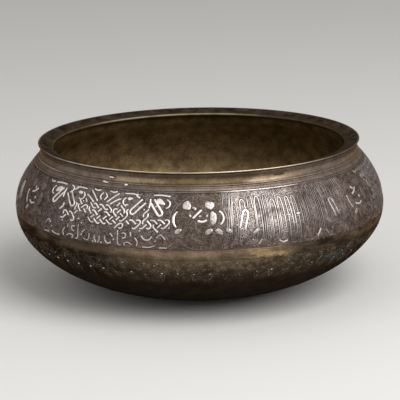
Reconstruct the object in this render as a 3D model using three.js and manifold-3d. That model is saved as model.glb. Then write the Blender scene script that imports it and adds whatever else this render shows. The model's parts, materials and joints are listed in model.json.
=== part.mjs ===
// Low brass bowl with an inturned collar, a sloping rim and silver set flush into its shoulder.
// Lengths are in millimetres, +Z is up, and the origin is the middle of the resting face.
// Bearings go round the bowl in degrees: 0 faces -Y, and they grow towards +X.
// A distance along the wall, called an arc here, is measured upwards from the widest line of the body.

import * as THREE from 'three';
import { TessellateModifier } from 'three/addons/modifiers/TessellateModifier.js';
import { mergeVertices } from 'three/addons/utils/BufferGeometryUtils.js';
import Module from 'manifold-3d';

const wasm = await Module();
wasm.setup();

// Body
const bellyRadius = 115;
const baseRadius = 32;
const lowerHeight = 51.2; // resting face to the widest line
const shoulderHeight = 32.4; // widest line to the foot of the collar
const wall = 2.1;
const lowerRise = 1.9; // powers that shape the rounded underside and the shoulder
const lowerFullness = 1.79;
const shoulderFullness = 2.17;

// Collar and rim
const collarRadius = 99.8; // outer edge of the lip
const collarHeight = 8.6; // foot of the collar to the top of the lip
const collarWaist = 0.8; // how far the collar is drawn in below the lip
const footRidgeHeight = 1.1;
const lipHeight = 1.1;
const lipGrooveDepth = 0.5;
const rimWidth = 8.2; // sloping rim, seen from above
const rimDrop = 2.2; // how far it falls towards the mouth
const rimThickness = 2.2;
const beadRadius = 1.3; // rounded inner edge of the rim

// Silver
const friezeMargin = 3.2; // foot of the collar down to the middle of the border wire
const ornamentMargin = 2.6; // middle of the border wire down to the top of the ornament
const wireWidth = 0.9;
const silverThickness = 0.5;
const clearance = 0.3; // between each silver piece and its recess
const strapWidth = 1.6;
const roundelBearings = [0, 58, 119, 180, 240, 298]; // spaced by hand, not exactly even
const cutterRise = 1; // how far a cutter stands out of the wall
const unitsUp = 31; // the ornament's grid, about 1 mm a unit: up its height
const unitsRound = 708; // and round the bowl

// Fineness of the facets
const lowerSteps = 9;
const shoulderSteps = 6;
const insideLowerSteps = 7;
const insideShoulderSteps = 4;
const sidesRound = 60;
const longestEdge = 4; // of a facet on a silver piece or in its recess, near enough

const collarFoot = lowerHeight + shoulderHeight;
const lipTop = collarFoot + collarHeight;

// Outer radius of the body at a height, from the resting face to the foot of the collar.
function bodyRadius(height) {
  if (height < lowerHeight) {
    const down = 1 - height / lowerHeight;
    return baseRadius + (bellyRadius - baseRadius) * (1 - down ** lowerRise) ** (1 / lowerFullness);
  }
  const up = (height - lowerHeight) / shoulderHeight;
  return bellyRadius - (bellyRadius - collarRadius) * up ** shoulderFullness;
}

// The wall as a fine chain of points, each with its arc.
const wallChain = [];
const chainLinks = 600;
for (let link = 0; link <= chainLinks; link += 1) {
  const height = collarFoot * (0.5 - 0.5 * Math.cos(Math.PI * link / chainLinks));
  wallChain.push({ radius: bodyRadius(height), height });
}
wallChain[0].arc = 0;
for (let link = 1; link <= chainLinks; link += 1) {
  const [from, to] = [wallChain[link - 1], wallChain[link]];
  to.arc = from.arc + Math.hypot(to.radius - from.radius, to.height - from.height);
}
const bellyLink = wallChain.findIndex((point) => point.height >= lowerHeight);
const bellyArc = wallChain[bellyLink].arc;
wallChain.forEach((point) => { point.arc -= bellyArc; });
const baseArc = wallChain[0].arc;
const footArc = wallChain[chainLinks].arc;

// Point of the outer wall at an arc, moved out along the wall's normal by an offset.
function wallPoint(arc, offset = 0) {
  let link = wallChain.findIndex((point) => point.arc > arc);
  link = link < 1 ? (arc < 0 ? 1 : chainLinks) : link;
  const [from, to] = [wallChain[link - 1], wallChain[link]];
  const along = (arc - from.arc) / (to.arc - from.arc);
  const run = new THREE.Vector2(to.radius - from.radius, to.height - from.height).normalize();
  return new THREE.Vector2(
    THREE.MathUtils.lerp(from.radius, to.radius, along) + run.y * offset,
    THREE.MathUtils.lerp(from.height, to.height, along) - run.x * offset,
  );
}

const friezeTop = footArc - friezeMargin;
const ornamentTop = friezeTop - ornamentMargin;
const friezeMiddle = ornamentTop / 2; // the ornament starts at the widest line
const drawnRadius = wallPoint(friezeMiddle).x;
const unitUp = ornamentTop / unitsUp;
const unitAcross = 2 * Math.PI * drawnRadius / unitsRound;

// A closed profile in radius and height, turned about the upright axis.
function turned(profile) {
  return new THREE.LatheGeometry(profile, sidesRound).rotateX(Math.PI / 2);
}

// Body, collar and rim in one closed profile: up the outside, over the rim and down the inside.
function shellProfile() {
  const outside = [new THREE.Vector2(0, 0), new THREE.Vector2(baseRadius, 0)];
  const inside = [];
  for (let step = 1; step <= lowerSteps; step += 1) {
    outside.push(wallPoint(baseArc * (1 - step / lowerSteps)));
  }
  for (let step = 1; step <= shoulderSteps; step += 1) {
    outside.push(wallPoint(footArc * step / shoulderSteps));
  }
  const waist = collarRadius - collarWaist;
  const lipFoot = lipTop - lipHeight;
  outside.push(
    new THREE.Vector2(collarRadius, collarFoot + footRidgeHeight),
    new THREE.Vector2(waist, collarFoot + 1.5 * footRidgeHeight),
    new THREE.Vector2(waist, lipFoot - 2 * lipGrooveDepth),
    new THREE.Vector2(waist - lipGrooveDepth, lipFoot - lipGrooveDepth),
    new THREE.Vector2(waist - lipGrooveDepth, lipFoot),
    new THREE.Vector2(collarRadius, lipFoot),
    new THREE.Vector2(collarRadius, lipTop),
  );

  // The rim runs inwards and down to a bead, and its underside runs back to the collar's inner face.
  const slope = new THREE.Vector2(-rimWidth, -rimDrop).normalize();
  const upward = new THREE.Vector2(-slope.y, slope.x).multiplyScalar(-1);
  const rimEnd = new THREE.Vector2(collarRadius - rimWidth, lipTop - rimDrop);
  const beadCentre = rimEnd.clone().addScaledVector(upward, -rimThickness / 2);
  const beadSteps = 4;
  const lift = Math.acos(rimThickness / 2 / beadRadius);
  for (let step = 0; step <= beadSteps; step += 1) {
    const turn = (Math.PI - 2 * lift) * step / beadSteps + lift;
    outside.push(beadCentre.clone()
      .addScaledVector(upward, beadRadius * Math.cos(turn))
      .addScaledVector(slope, beadRadius * Math.sin(turn)));
  }
  const neckInside = waist - wall;
  const underRim = (neckInside - collarRadius) / slope.x;
  const corner = new THREE.Vector2(collarRadius, lipTop).addScaledVector(slope, underRim);
  outside.push(new THREE.Vector2(neckInside, corner.y - rimThickness / -slope.x));
  outside.push(new THREE.Vector2(neckInside, collarFoot));

  for (let step = 0; step < insideShoulderSteps; step += 1) {
    inside.push(wallPoint(footArc * (1 - step / insideShoulderSteps), -wall));
  }
  for (let step = 0; step < insideLowerSteps; step += 1) {
    inside.push(wallPoint(baseArc * step / insideLowerSteps, -wall));
  }
  inside.push(new THREE.Vector2(baseRadius, wall), new THREE.Vector2(0, wall));
  return [...outside, ...inside];
}

// Border wire at the top of the frieze, a ring of flat wire that follows the slope of the shoulder.
function wireRing(spare, rise) {
  const half = wireWidth / 2 + spare;
  const deep = -(silverThickness + spare);
  return turned([
    wallPoint(friezeTop - half, deep),
    wallPoint(friezeTop - half, rise),
    wallPoint(friezeTop + half, rise),
    wallPoint(friezeTop + half, deep),
    wallPoint(friezeTop - half, deep),
  ]);
}

// Flat outlines in millimetres, x to the right and y up the wall. Each grows by the spare it is given.

// Strap of even width along a path of points, with round ends.
function strap(path, width, spare) {
  const half = width / 2 + spare;
  const capSteps = 3;
  const side = (points) => points.map((point, index) => {
    const before = points[Math.max(index - 1, 0)];
    const after = points[Math.min(index + 1, points.length - 1)];
    const along = after.clone().sub(before).normalize();
    return point.clone().add(new THREE.Vector2(along.y, -along.x).multiplyScalar(half));
  });
  const cap = (end, before) => {
    const start = end.clone().sub(before).angle() - Math.PI / 2;
    const points = [];
    for (let step = 1; step < capSteps; step += 1) {
      const turn = start + Math.PI * step / capSteps;
      points.push(new THREE.Vector2(Math.cos(turn), Math.sin(turn)).multiplyScalar(half).add(end));
    }
    return points;
  };
  const back = [...path].reverse();
  return [
    ...side(path), ...cap(path.at(-1), path.at(-2)),
    ...side(back), ...cap(back.at(-1), back.at(-2)),
  ];
}

// Place on the ornament grid, from the middle of a roundel or cartouche.
const grid = (x, y) => new THREE.Vector2(x * unitAcross, y * unitUp);

// Rounded plate: an ellipse placed and sized on the grid, drawn to a point at its right end when point is above 0.
function plate(x, y, length, width, tilt, point, spare) {
  const lean = THREE.MathUtils.degToRad(tilt);
  const halfLength = grid(length / 2 * Math.cos(lean), length / 2 * Math.sin(lean)).length();
  const halfWidth = grid(-width / 2 * Math.sin(lean), width / 2 * Math.cos(lean)).length();
  const sides = 10;
  const points = [];
  for (let side = 0; side < sides; side += 1) {
    const turn = 2 * Math.PI * side / sides;
    const narrowing = 1 - point * Math.max(Math.cos(turn), 0);
    points.push(new THREE.Vector2(
      (halfLength + spare) * Math.cos(turn),
      (halfWidth * narrowing + spare) * Math.sin(turn),
    ).rotateAround(new THREE.Vector2(), lean).add(grid(x, y)));
  }
  return points;
}

// Part of a circle on the grid, in degrees.
function arcPath(x, y, radius, from, to, steps) {
  const points = [];
  for (let step = 0; step <= steps; step += 1) {
    const turn = THREE.MathUtils.degToRad(THREE.MathUtils.lerp(from, to, step / steps));
    points.push(grid(x + radius * Math.cos(turn), y + radius * Math.sin(turn)));
  }
  return points;
}

// Silver of a roundel: two plain rounded heads, a robe and an arm over a leafy stem.
const roundelPieces = {
  left_head: (spare) => plate(-7.4, 9.8, 6, 5.4, 100, 0.25, spare),
  right_head: (spare) => plate(6, 9.8, 6.3, 5.2, 160, 0, spare),
  robe: (spare) => plate(7.8, 1.8, 9, 4.4, 268, 0.35, spare),
  arm: (spare) => strap(arcPath(9.2, 2, 4.6, 60, -55, 4), strapWidth, spare),
  sash: (spare) => strap([grid(-3.8, 2.1), grid(-1.4, 4.6), grid(1.1, 7)], strapWidth, spare),
  crescent: (spare) => strap(arcPath(1.2, 4.4, 4.4, 240, 308, 3), strapWidth, spare),
  left_leaf: (spare) => plate(5, -5.7, 5.4, 3.2, 212, 0.3, spare),
  right_leaf: (spare) => plate(11, -5.8, 5.4, 3.2, 328, 0.3, spare),
};
const commonPieces = ['left_head', 'right_head', 'robe', 'left_leaf', 'right_leaf'];

// Silver of a cartouche: a hairpin strap and a leaf at each end, mirrored about the middle.
// A hairpin's two legs start at its open end and join in a half circle round its bend.
const cartoucheKinds = {
  plait: { open: [27, 11.6], bend: [21.2, 4.8], leaf: [37.4, 11.6], leafLength: 6.6, leafWidth: 3.6, leafTilt: -30 },
  arcade: { open: [32.4, -4.8], bend: [29.8, 4.2], leaf: [24.4, -6.6], leafLength: 5.4, leafWidth: 2.4, leafTilt: 150 },
};
const kindOf = (place) => (place % 2 === 0 ? cartoucheKinds.arcade : cartoucheKinds.plait);

function hairpinPath(kind, side) {
  const open = grid(side * kind.open[0], kind.open[1]);
  const bend = grid(side * kind.bend[0], kind.bend[1]);
  const along = bend.clone().sub(open).normalize();
  const across = new THREE.Vector2(along.y, -along.x).multiplyScalar(strapWidth);
  const bendSteps = 4;
  const path = [open.clone().add(across)];
  for (let step = 0; step <= bendSteps; step += 1) {
    path.push(across.clone().rotateAround(new THREE.Vector2(), Math.PI * step / bendSteps).add(bend));
  }
  path.push(open.clone().sub(across));
  return path;
}

function leafOutline(kind, side, spare) {
  const tilt = side > 0 ? kind.leafTilt : 180 - kind.leafTilt;
  return plate(side * kind.leaf[0], kind.leaf[1], kind.leafLength, kind.leafWidth, tilt, 0.4, spare);
}

const cartouchePieces = {
  left_hairpin: (kind) => (spare) => strap(hairpinPath(kind, -1), strapWidth, spare),
  right_hairpin: (kind) => (spare) => strap(hairpinPath(kind, 1), strapWidth, spare),
  left_leaf: (kind) => (spare) => leafOutline(kind, -1, spare),
  right_leaf: (kind) => (spare) => leafOutline(kind, 1, spare),
};

// A flat outline thickened between two offsets from the wall, and bent onto it about a bearing. The flat facets are
// split first, so that none spans more of the round wall than the longest edge.
const facetSplitter = new TessellateModifier(longestEdge, 8);

function bentOntoWall(outline, bearing, low, high) {
  const flat = new THREE.ExtrudeGeometry(new THREE.Shape(outline), { depth: high - low, bevelEnabled: false });
  const geometry = facetSplitter.modify(flat);
  const position = geometry.attributes.position;
  for (let vertex = 0; vertex < position.count; vertex += 1) {
    const angle = THREE.MathUtils.degToRad(bearing) + position.getX(vertex) / drawnRadius;
    const point = wallPoint(friezeMiddle + position.getY(vertex), low + position.getZ(vertex));
    position.setXYZ(vertex, point.x * Math.sin(angle), -point.x * Math.cos(angle), point.y);
  }
  return geometry;
}

// Closed geometry as a solid for cutting. Triangles that vanish on the axis are left out.
function solidOf(geometry) {
  const bare = new THREE.BufferGeometry();
  bare.setAttribute('position', geometry.attributes.position);
  bare.setIndex(geometry.index);
  const merged = mergeVertices(bare, 1e-4);
  const index = merged.index.array;
  const triangles = [];
  for (let corner = 0; corner < index.length; corner += 3) {
    const [a, b, c] = index.slice(corner, corner + 3);
    if (a !== b && b !== c && c !== a) triangles.push(a, b, c);
  }
  return new wasm.Manifold(new wasm.Mesh({
    numProp: 3,
    vertProperties: new Float32Array(merged.attributes.position.array),
    triVerts: new Uint32Array(triangles),
  }));
}

function geometryOf(solid) {
  const mesh = solid.getMesh();
  const geometry = new THREE.BufferGeometry();
  geometry.setAttribute('position', new THREE.BufferAttribute(mesh.vertProperties, 3));
  geometry.setIndex(new THREE.BufferAttribute(mesh.triVerts, 1));
  geometry.computeVertexNormals();
  return geometry;
}

const agedBrass = () => new THREE.MeshStandardMaterial({ color: 0x8a7650, metalness: 1, roughness: 0.42 });
const silver = () => new THREE.MeshStandardMaterial({ color: 0xd9d4cc, metalness: 1, roughness: 0.34 });

const bowl = new THREE.Group();

function addPiece(name, geometry, material) {
  const mesh = new THREE.Mesh(geometry, material);
  mesh.name = name;
  bowl.add(mesh);
}

// The shell starts whole and loses one recess for each silver piece that is set into it.
let shell = solidOf(turned(shellProfile()));

function inlay(name, outlineOf, bearing) {
  const recess = bentOntoWall(outlineOf(clearance), bearing, -(silverThickness + clearance), cutterRise);
  shell = shell.subtract(solidOf(recess));
  addPiece(name, bentOntoWall(outlineOf(0), bearing, -silverThickness, 0), silver());
}

shell = shell.subtract(solidOf(wireRing(clearance, cutterRise)));
addPiece('frieze_border_wire', wireRing(0, 0), silver());

roundelBearings.forEach((bearing, place) => {
  const isFront = place === 0;
  for (const [piece, outlineOf] of Object.entries(roundelPieces)) {
    if (isFront || commonPieces.includes(piece)) inlay(`roundel_${place + 1}_${piece}`, outlineOf, bearing);
  }
  const next = roundelBearings[place + 1] ?? roundelBearings[0] + 360;
  for (const [piece, drawnFor] of Object.entries(cartouchePieces)) {
    inlay(`cartouche_${place + 1}_${piece}`, drawnFor(kindOf(place)), (bearing + next) / 2);
  }
});

addPiece('bowl_shell', geometryOf(shell), agedBrass());

export default bowl;
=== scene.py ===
"""Inlaid brass bowl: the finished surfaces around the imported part, laid out as a Blender add-on.

Objects are in metres and +Z is up. Bearings go round the bowl in degrees: 0 faces -Y, and they grow
towards +X. Ornament is drawn flat in millimetres and carried onto the wall: x runs to the right round the
bowl, and y runs up the wall from the middle of the frieze. An arc is a distance up the outer wall from its
widest line, also in mm. Bare numbers in the shapes are mm, and those in the finishes are shares from 0 to 1.
"""
import json
import math

import bpy
import numpy as np
from bpy.props import FloatProperty, FloatVectorProperty, IntProperty, PointerProperty
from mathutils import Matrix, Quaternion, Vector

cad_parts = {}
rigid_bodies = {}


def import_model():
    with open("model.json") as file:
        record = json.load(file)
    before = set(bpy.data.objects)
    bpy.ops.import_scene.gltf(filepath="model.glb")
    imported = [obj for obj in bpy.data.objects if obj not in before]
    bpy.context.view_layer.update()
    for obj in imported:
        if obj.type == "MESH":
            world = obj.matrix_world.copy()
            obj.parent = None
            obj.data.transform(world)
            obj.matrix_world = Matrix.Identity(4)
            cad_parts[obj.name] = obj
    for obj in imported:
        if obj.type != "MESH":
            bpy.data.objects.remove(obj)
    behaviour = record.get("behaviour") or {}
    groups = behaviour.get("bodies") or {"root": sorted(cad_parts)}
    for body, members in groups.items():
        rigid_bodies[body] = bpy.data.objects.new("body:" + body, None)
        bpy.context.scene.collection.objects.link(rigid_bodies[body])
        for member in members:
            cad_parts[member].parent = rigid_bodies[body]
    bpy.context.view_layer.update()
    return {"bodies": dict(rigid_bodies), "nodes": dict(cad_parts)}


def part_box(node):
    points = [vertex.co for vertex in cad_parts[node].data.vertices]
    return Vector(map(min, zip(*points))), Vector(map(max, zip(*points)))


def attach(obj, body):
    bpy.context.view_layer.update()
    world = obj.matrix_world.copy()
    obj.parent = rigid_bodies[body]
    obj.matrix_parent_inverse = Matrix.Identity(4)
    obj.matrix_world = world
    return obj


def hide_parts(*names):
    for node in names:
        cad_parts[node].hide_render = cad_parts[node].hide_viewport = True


bl_info = {
    "name": "Inlaid brass bowl",
    "version": (1, 0, 0),
    "blender": (4, 5, 0),
    "location": "View3D > Sidebar > Bowl",
    "description": "Makes the finished metal, silver inlay and engraving of a low brass bowl",
    "category": "Object",
}

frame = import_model()

MM = 0.001
BODY = next(iter(frame["bodies"]))
SHELL_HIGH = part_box("bowl_shell")[1]
WIRE_LOW, WIRE_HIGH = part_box("frieze_border_wire")
ROUNDEL_BEARINGS = (0, 58, 119, 180, 240, 298)  # as in the part


def metres(name, description, millimetres):
    """A length property with its default written in millimetres."""
    return FloatProperty(
        name=name, description=description, default=millimetres * MM, unit="LENGTH", precision=5)


def degrees(name, description, angle):
    """An angle property with its default written in degrees."""
    return FloatProperty(name=name, description=description, default=math.radians(angle), subtype="ANGLE")


def number(name, description, value):
    """A property without a unit."""
    return FloatProperty(name=name, description=description, default=value)


def colour(name, description, value):
    """A linear colour property."""
    return FloatVectorProperty(
        name=name, description=description, default=value, size=3, subtype="COLOR", min=0, max=1)


class BodySizes(bpy.types.PropertyGroup):
    """Sizes of the raised brass body."""

    belly_radius: metres("Belly radius", "Radius at the widest line", SHELL_HIGH.x / MM)
    base_radius: metres("Base radius", "Radius of the flat resting face", 32)
    lower_height: metres("Lower height", "Resting face to the widest line", 51.2)
    shoulder_height: metres("Shoulder height", "Widest line to the foot of the collar", 32.4)
    wall: metres("Wall", "Thickness of the sheet", 2.1)
    collar_radius: metres("Collar radius", "Outer edge of the lip", 99.8)
    lip_top: metres("Lip top", "Height of the lip", SHELL_HIGH.z / MM)
    collar_waist: metres("Collar waist", "How far the collar is drawn in below the lip", 0.8)
    rim_width: metres("Rim width", "Sloping rim, seen from above", 8.2)
    rim_drop: metres("Rim drop", "How far the rim falls towards the mouth", 2.2)
    rim_thickness: metres("Rim thickness", "Thickness of the sloping rim", 2.2)
    bead_radius: metres("Bead radius", "Rounded inner edge of the rim", 1.3)
    lower_rise: number("Lower rise", "Power that rounds the underside", 1.9)
    lower_fullness: number("Lower fullness", "Power that fills the underside", 1.79)
    shoulder_fullness: number("Shoulder fullness", "Power of the shoulder's curve", 2.17)
    lean: metres("Lean", "How far the underside stands out to the left and in to the right", 0.55)
    rim_tilt: metres("Rim tilt", "How far the rim rises at the right and sinks at the left", 0.5)
    oval: metres("Oval", "How far the rim is drawn out along one slant and in along the other", 1.0)
    around: IntProperty(name="Steps round", description="Facets round the bowl", default=328)


class OrnamentSizes(bpy.types.PropertyGroup):
    """Sizes of the inlay and the engraving."""

    middle: metres("Ornament's middle", "Arc from the widest line to the middle of the ornament", 15.5)
    strap_width: metres("Strap width", "Width of a silver strap", 1.02)
    strap_rise: metres("Strap rise", "How far a strap's crown stands out of the wall", 0.2)
    bed_margin: metres("Bed margin", "Dark cut edge that shows round each silver piece", 0.2)
    bed_rise: metres("Bed rise", "Height of the burr that the cut edge leaves", 0.05)
    roundel_radius: metres("Roundel radius", "Circle round a roundel", 15.9)
    plait_pitch: metres("Plait pitch", "Distance between neighbouring crossings, across and up", 2.1)
    line_width: metres("Line width", "Width of an engraved scroll line", 0.34)
    line_rise: metres("Line rise", "Height of the scroll lines left between the cuts", 0.05)
    scroll_pitch: metres("Scroll pitch", "Distance between the middles of the scrolls", 4.1)
    frieze_foot: metres("Frieze foot", "Arc of the line under the frieze", -1.2)
    band_top: metres("Lower band top", "Height of the top of the lower band", 43.6)
    band_bottom: metres("Lower band bottom", "Height of the foot of the lower band", 33.8)
    dots_below: metres("Row of dots", "Arc of the row of silver dots in the lower band", -17.5)
    seed: IntProperty(name="Seed", description="Picks the lost silver and the unevenness", default=12)


class FinishColours(bpy.types.PropertyGroup):
    """Colours of the metal and the floor."""

    silver: colour("Silver", "Clean worn silver", (0.76, 0.695, 0.665))
    silver_tarnish: colour("Silver tarnish", "Dulled silver", (0.235, 0.198, 0.187))
    cut_edge: colour("Cut edge", "Dirt and black filling in the cuts", (0.020, 0.0155, 0.0135))
    line_brass: colour("Engraved line", "Brass between the engraver's cuts", (0.200, 0.153, 0.137))
    # Partly a painted highlight where the rubbed silver lies
    line_silvery: colour("Silvered line", "Engraved lines rubbed with silver", (0.60, 0.535, 0.51))
    frieze: colour("Frieze ground", "Cut-away ground of the frieze", (0.076, 0.061, 0.0595))
    frieze_light: colour("Frieze lines", "Lines left in the ground", (0.192, 0.150, 0.141))
    # Partly a painted highlight where the rubbed silver lies
    frieze_silvery: colour("Silvered ground", "Those lines rubbed with silver", (0.44, 0.375, 0.355))
    roundel: colour("Roundel ground", "Browner lines in the roundels", (0.150, 0.112, 0.076))
    plain_band: colour("Plain band", "Olive brass below the frieze", (0.165, 0.121, 0.081))
    lower_band: colour("Lower band", "Dark brass of the lower band", (0.038, 0.028, 0.0185))
    lower_light: colour("Lower band lines", "Lines left in the lower band", (0.19, 0.150, 0.108))
    # The underside's darkness is partly darker patina and partly painted shade
    base: colour("Underside", "Darkest brass underneath", (0.0210, 0.0148, 0.0100))
    collar: colour("Collar", "Rubbed brass of the collar", (0.108, 0.077, 0.055))
    # Golden patches on the collar, partly painted highlights
    collar_tan_and_highlight: colour("Collar patches", "Golden patches on the collar", (0.35, 0.262, 0.178))
    collar_olive: colour("Collar olive", "Yellowish front of the collar", (0.20, 0.146, 0.070))
    # Painted highlight on the collar
    collar_highlight: colour("Collar gleam", "Palest stretch of the collar", (0.58, 0.46, 0.35))
    shoulder: colour("Shoulder", "Grey-brown between collar and frieze", (0.20, 0.158, 0.138))
    # This colour and the next are partly polish and partly painted highlight
    edge: colour("Worn edge", "Ridges and lips that hands have polished", (0.74, 0.62, 0.44))
    pale_edge_highlight: colour("Pale edge", "The same at the left of the collar", (0.52, 0.47, 0.42))
    # Painted highlight: the gold on the plain band beside the front roundel
    gold: colour("Rubbed gold", "Bright brass on the widest line", (0.36, 0.250, 0.145))
    rim: colour("Rim", "Grey-brown sloping rim", (0.042, 0.031, 0.024))
    inside: colour("Inside", "Dark olive brass inside", (0.080, 0.056, 0.026))
    inside_tan: colour("Inside mottling", "Tan mottling inside", (0.42, 0.298, 0.168))
    verdigris: colour("Verdigris", "Blue-green specks", (0.040, 0.072, 0.072))
    floor: colour("Floor", "Pale floor", (0.80, 0.79, 0.77))


class StageSettings(bpy.types.PropertyGroup):
    """Camera, lamps and floor."""

    distance: metres("Camera distance", "Camera to the middle of the bowl", 1100)
    elevation: degrees("Camera elevation", "Above the horizon", 13.68)
    roll: degrees("Camera roll", "Tilt of the frame", -0.43)
    target_height: metres("Target height", "Height of the point that the camera looks at", 52)
    lens: number("Lens", "Focal length in mm on a 36 mm frame", 157.42)
    floor_size: metres("Floor size", "Side of the square floor", 9000)
    key_power: number("Key power", "Soft lamp in front and to the right, in watts", 21)
    fill_power: number("Fill power", "Soft lamp in front and to the left, in watts", 3)


# Slow waves of the hammered wall: share, crests round the bowl, phase, and mm of arc to a radian of drift
DENT_WAVES = ((0.5, 3, 1.1, 31), (0.3, 5, -0.7, -17), (0.2, 8, 2.3, 11))
DENT_DEPTH = 0.16


class Wall:
    """Outer face of the body as a chain of points: arc, radius, height and outward normal, in mm."""

    def __init__(self, scene):
        sizes, ornament = scene.bowl_body, scene.bowl_ornament
        belly, base, collar = sizes.belly_radius / MM, sizes.base_radius / MM, sizes.collar_radius / MM
        lower, shoulder = sizes.lower_height / MM, sizes.shoulder_height / MM
        self.foot = lower + shoulder
        self.height = self.foot * (0.5 - 0.5 * np.cos(np.linspace(0, np.pi, 1601)))
        down = np.clip(1 - self.height / lower, 0, 1)
        up = np.clip((self.height - lower) / shoulder, 0, 1)
        under = base + (belly - base) * (1 - down ** sizes.lower_rise) ** (1 / sizes.lower_fullness)
        over = belly - (belly - collar) * up ** sizes.shoulder_fullness
        self.radius = np.where(self.height < lower, under, over)
        steps = np.hypot(np.diff(self.radius), np.diff(self.height))
        self.arc = np.concatenate([[0], np.cumsum(steps)])
        self.arc -= np.interp(lower, self.height, self.arc)
        self.out = np.gradient(self.height, self.arc)
        self.up = -np.gradient(self.radius, self.arc)
        self.lean, self.rim_tilt, self.oval = sizes.lean / MM, sizes.rim_tilt / MM, sizes.oval / MM
        self.top = self.arc_at((WIRE_LOW.z + WIRE_HIGH.z) / 2 / MM)
        self.middle = ornament.middle / MM
        self.drawn_radius = float(np.interp(self.middle, self.arc, self.radius))
        self.frieze_foot = ornament.frieze_foot / MM
        self.band_top = self.arc_at(ornament.band_top / MM)
        self.band_bottom = self.arc_at(ornament.band_bottom / MM)

    def arc_at(self, height):
        """Arc of a height on the wall."""
        return float(np.interp(height, self.height, self.arc))

    def dents(self, angle, arc):
        """Unevenness of the wall along its normal: slow waves that never stand out, and the lean.

        A wave is the cosine of crests * angle + phase + arc / drift. The lean follows -sin(angle) and fades
        out towards the base and the widest line."""
        base, rim = self.arc[0], self.arc[-1]
        clear = smooth_step(arc, base + 4, base + 22) * (1 - smooth_step(arc, rim - 9, rim - 2))
        waves = sum(share * np.cos(crests * angle + phase + arc / drift)
                    for share, crests, phase, drift in DENT_WAVES)
        below = smooth_step(arc, base + 6, base + 26) * (1 - smooth_step(arc, -22, -3))
        return clear * DENT_DEPTH * (waves - 1) - self.lean * np.sin(angle) * below

    def askew(self, angle, arc):
        """Changes of radius, -sin(2 angle), and height, sin(angle), growing from widest line to rim."""
        share = smooth_step(arc, 0, self.arc[-1])
        return -self.oval * share * np.sin(2 * angle), self.rim_tilt * share * np.sin(angle)

    def on(self, angle, arc, lift):
        """Points in space, in metres, at an angle round the axis, an arc up the wall and a lift out of it."""
        lift = lift + self.dents(angle, arc)
        wider, higher = self.askew(angle, arc)
        radius = np.interp(arc, self.arc, self.radius) + lift * np.interp(arc, self.arc, self.out) + wider
        height = np.interp(arc, self.arc, self.height) + lift * np.interp(arc, self.arc, self.up) + higher
        return np.stack(np.broadcast_arrays(radius * np.sin(angle), -radius * np.cos(angle), height), -1) * MM

    def place(self, x, y, lift, bearing=0.0):
        """Points in space for ornament drawn flat: x / drawn radius turns round the axis from the bearing."""
        return self.on(np.radians(bearing) + x / self.drawn_radius, y + self.middle, lift)


def smooth_step(value, start, end):
    """0 before start, 1 after end, and 3 t squared less 2 t cubed between."""
    t = np.clip((value - start) / (end - start), 0, 1)
    return t * t * (3 - 2 * t)


def rounded(points, rounds=3):
    """An open chain with its corners cut: each round puts points at 1/4 and 3/4 of every link."""
    points = np.asarray(points, float)
    for _ in range(rounds):
        near = 0.75 * points[:-1] + 0.25 * points[1:]
        far = 0.25 * points[:-1] + 0.75 * points[1:]
        cut = np.stack([near, far], 1).reshape(-1, 2)
        points = np.concatenate([points[:1], cut, points[-1:]])
    return points


def spaced(points, count):
    """Count points evenly spaced by length along a chain."""
    points = np.asarray(points, float)
    length = np.concatenate([[0], np.cumsum(np.hypot(*np.diff(points, axis=0).T))])
    at = np.linspace(0, length[-1], count)
    return np.stack([np.interp(at, length, points[:, axis]) for axis in (0, 1)], -1)


def mirrored(paths):
    """The paths and their mirror images about x = 0."""
    return [*paths, *(np.asarray(path, float) * (-1, 1) for path in paths)]


def arc_of(x, y, radius, start, end, count=12):
    """Points of a part circle, angles in degrees."""
    turn = np.radians(np.linspace(start, end, count))
    return np.stack([x + radius * np.cos(turn), y + radius * np.sin(turn)], -1)


# Meshes. Each maker gives (points, quads), with the points in metres, and several can share one object.

# Quads that close the end of a tube, by its number of sides
CAPS = {4: ((0, 1, 2, 3),), 6: ((0, 1, 2, 3), (0, 3, 4, 5)), 8: ((0, 1, 2, 3), (0, 3, 4, 7), (4, 5, 6, 7))}
CAP_TURNS = (32, 62, 86)  # degrees at which the extra rings of a rounded end stand
SINK = 0.2  # how far the inlay and the lines reach into the wall
SQUARENESS = 0.6  # power that makes a strap's crown fuller than a circle


def tube_faces(tubes, rings, sides, closed=False):
    """Quads of many tubes at once, each of some rings of a few sides, with flat caps on the open ones."""
    tube = np.arange(tubes)[:, None, None] * rings * sides
    ring = np.arange(rings if closed else rings - 1)[None, :, None]
    side = np.arange(sides)[None, None, :]
    near, far = ring * sides, (ring + 1) % rings * sides
    following = (side + 1) % sides
    corners = (tube + near + following, tube + far + following, tube + far + side, tube + near + side)
    walls = np.stack(np.broadcast_arrays(*corners), -1).reshape(-1, 4)
    if closed:
        return walls
    cap = np.array(CAPS[sides])[None]
    last = (rings - 1) * sides
    return np.concatenate([walls, (tube + cap[..., ::-1]).reshape(-1, 4), (tube + last + cap).reshape(-1, 4)])


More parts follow.
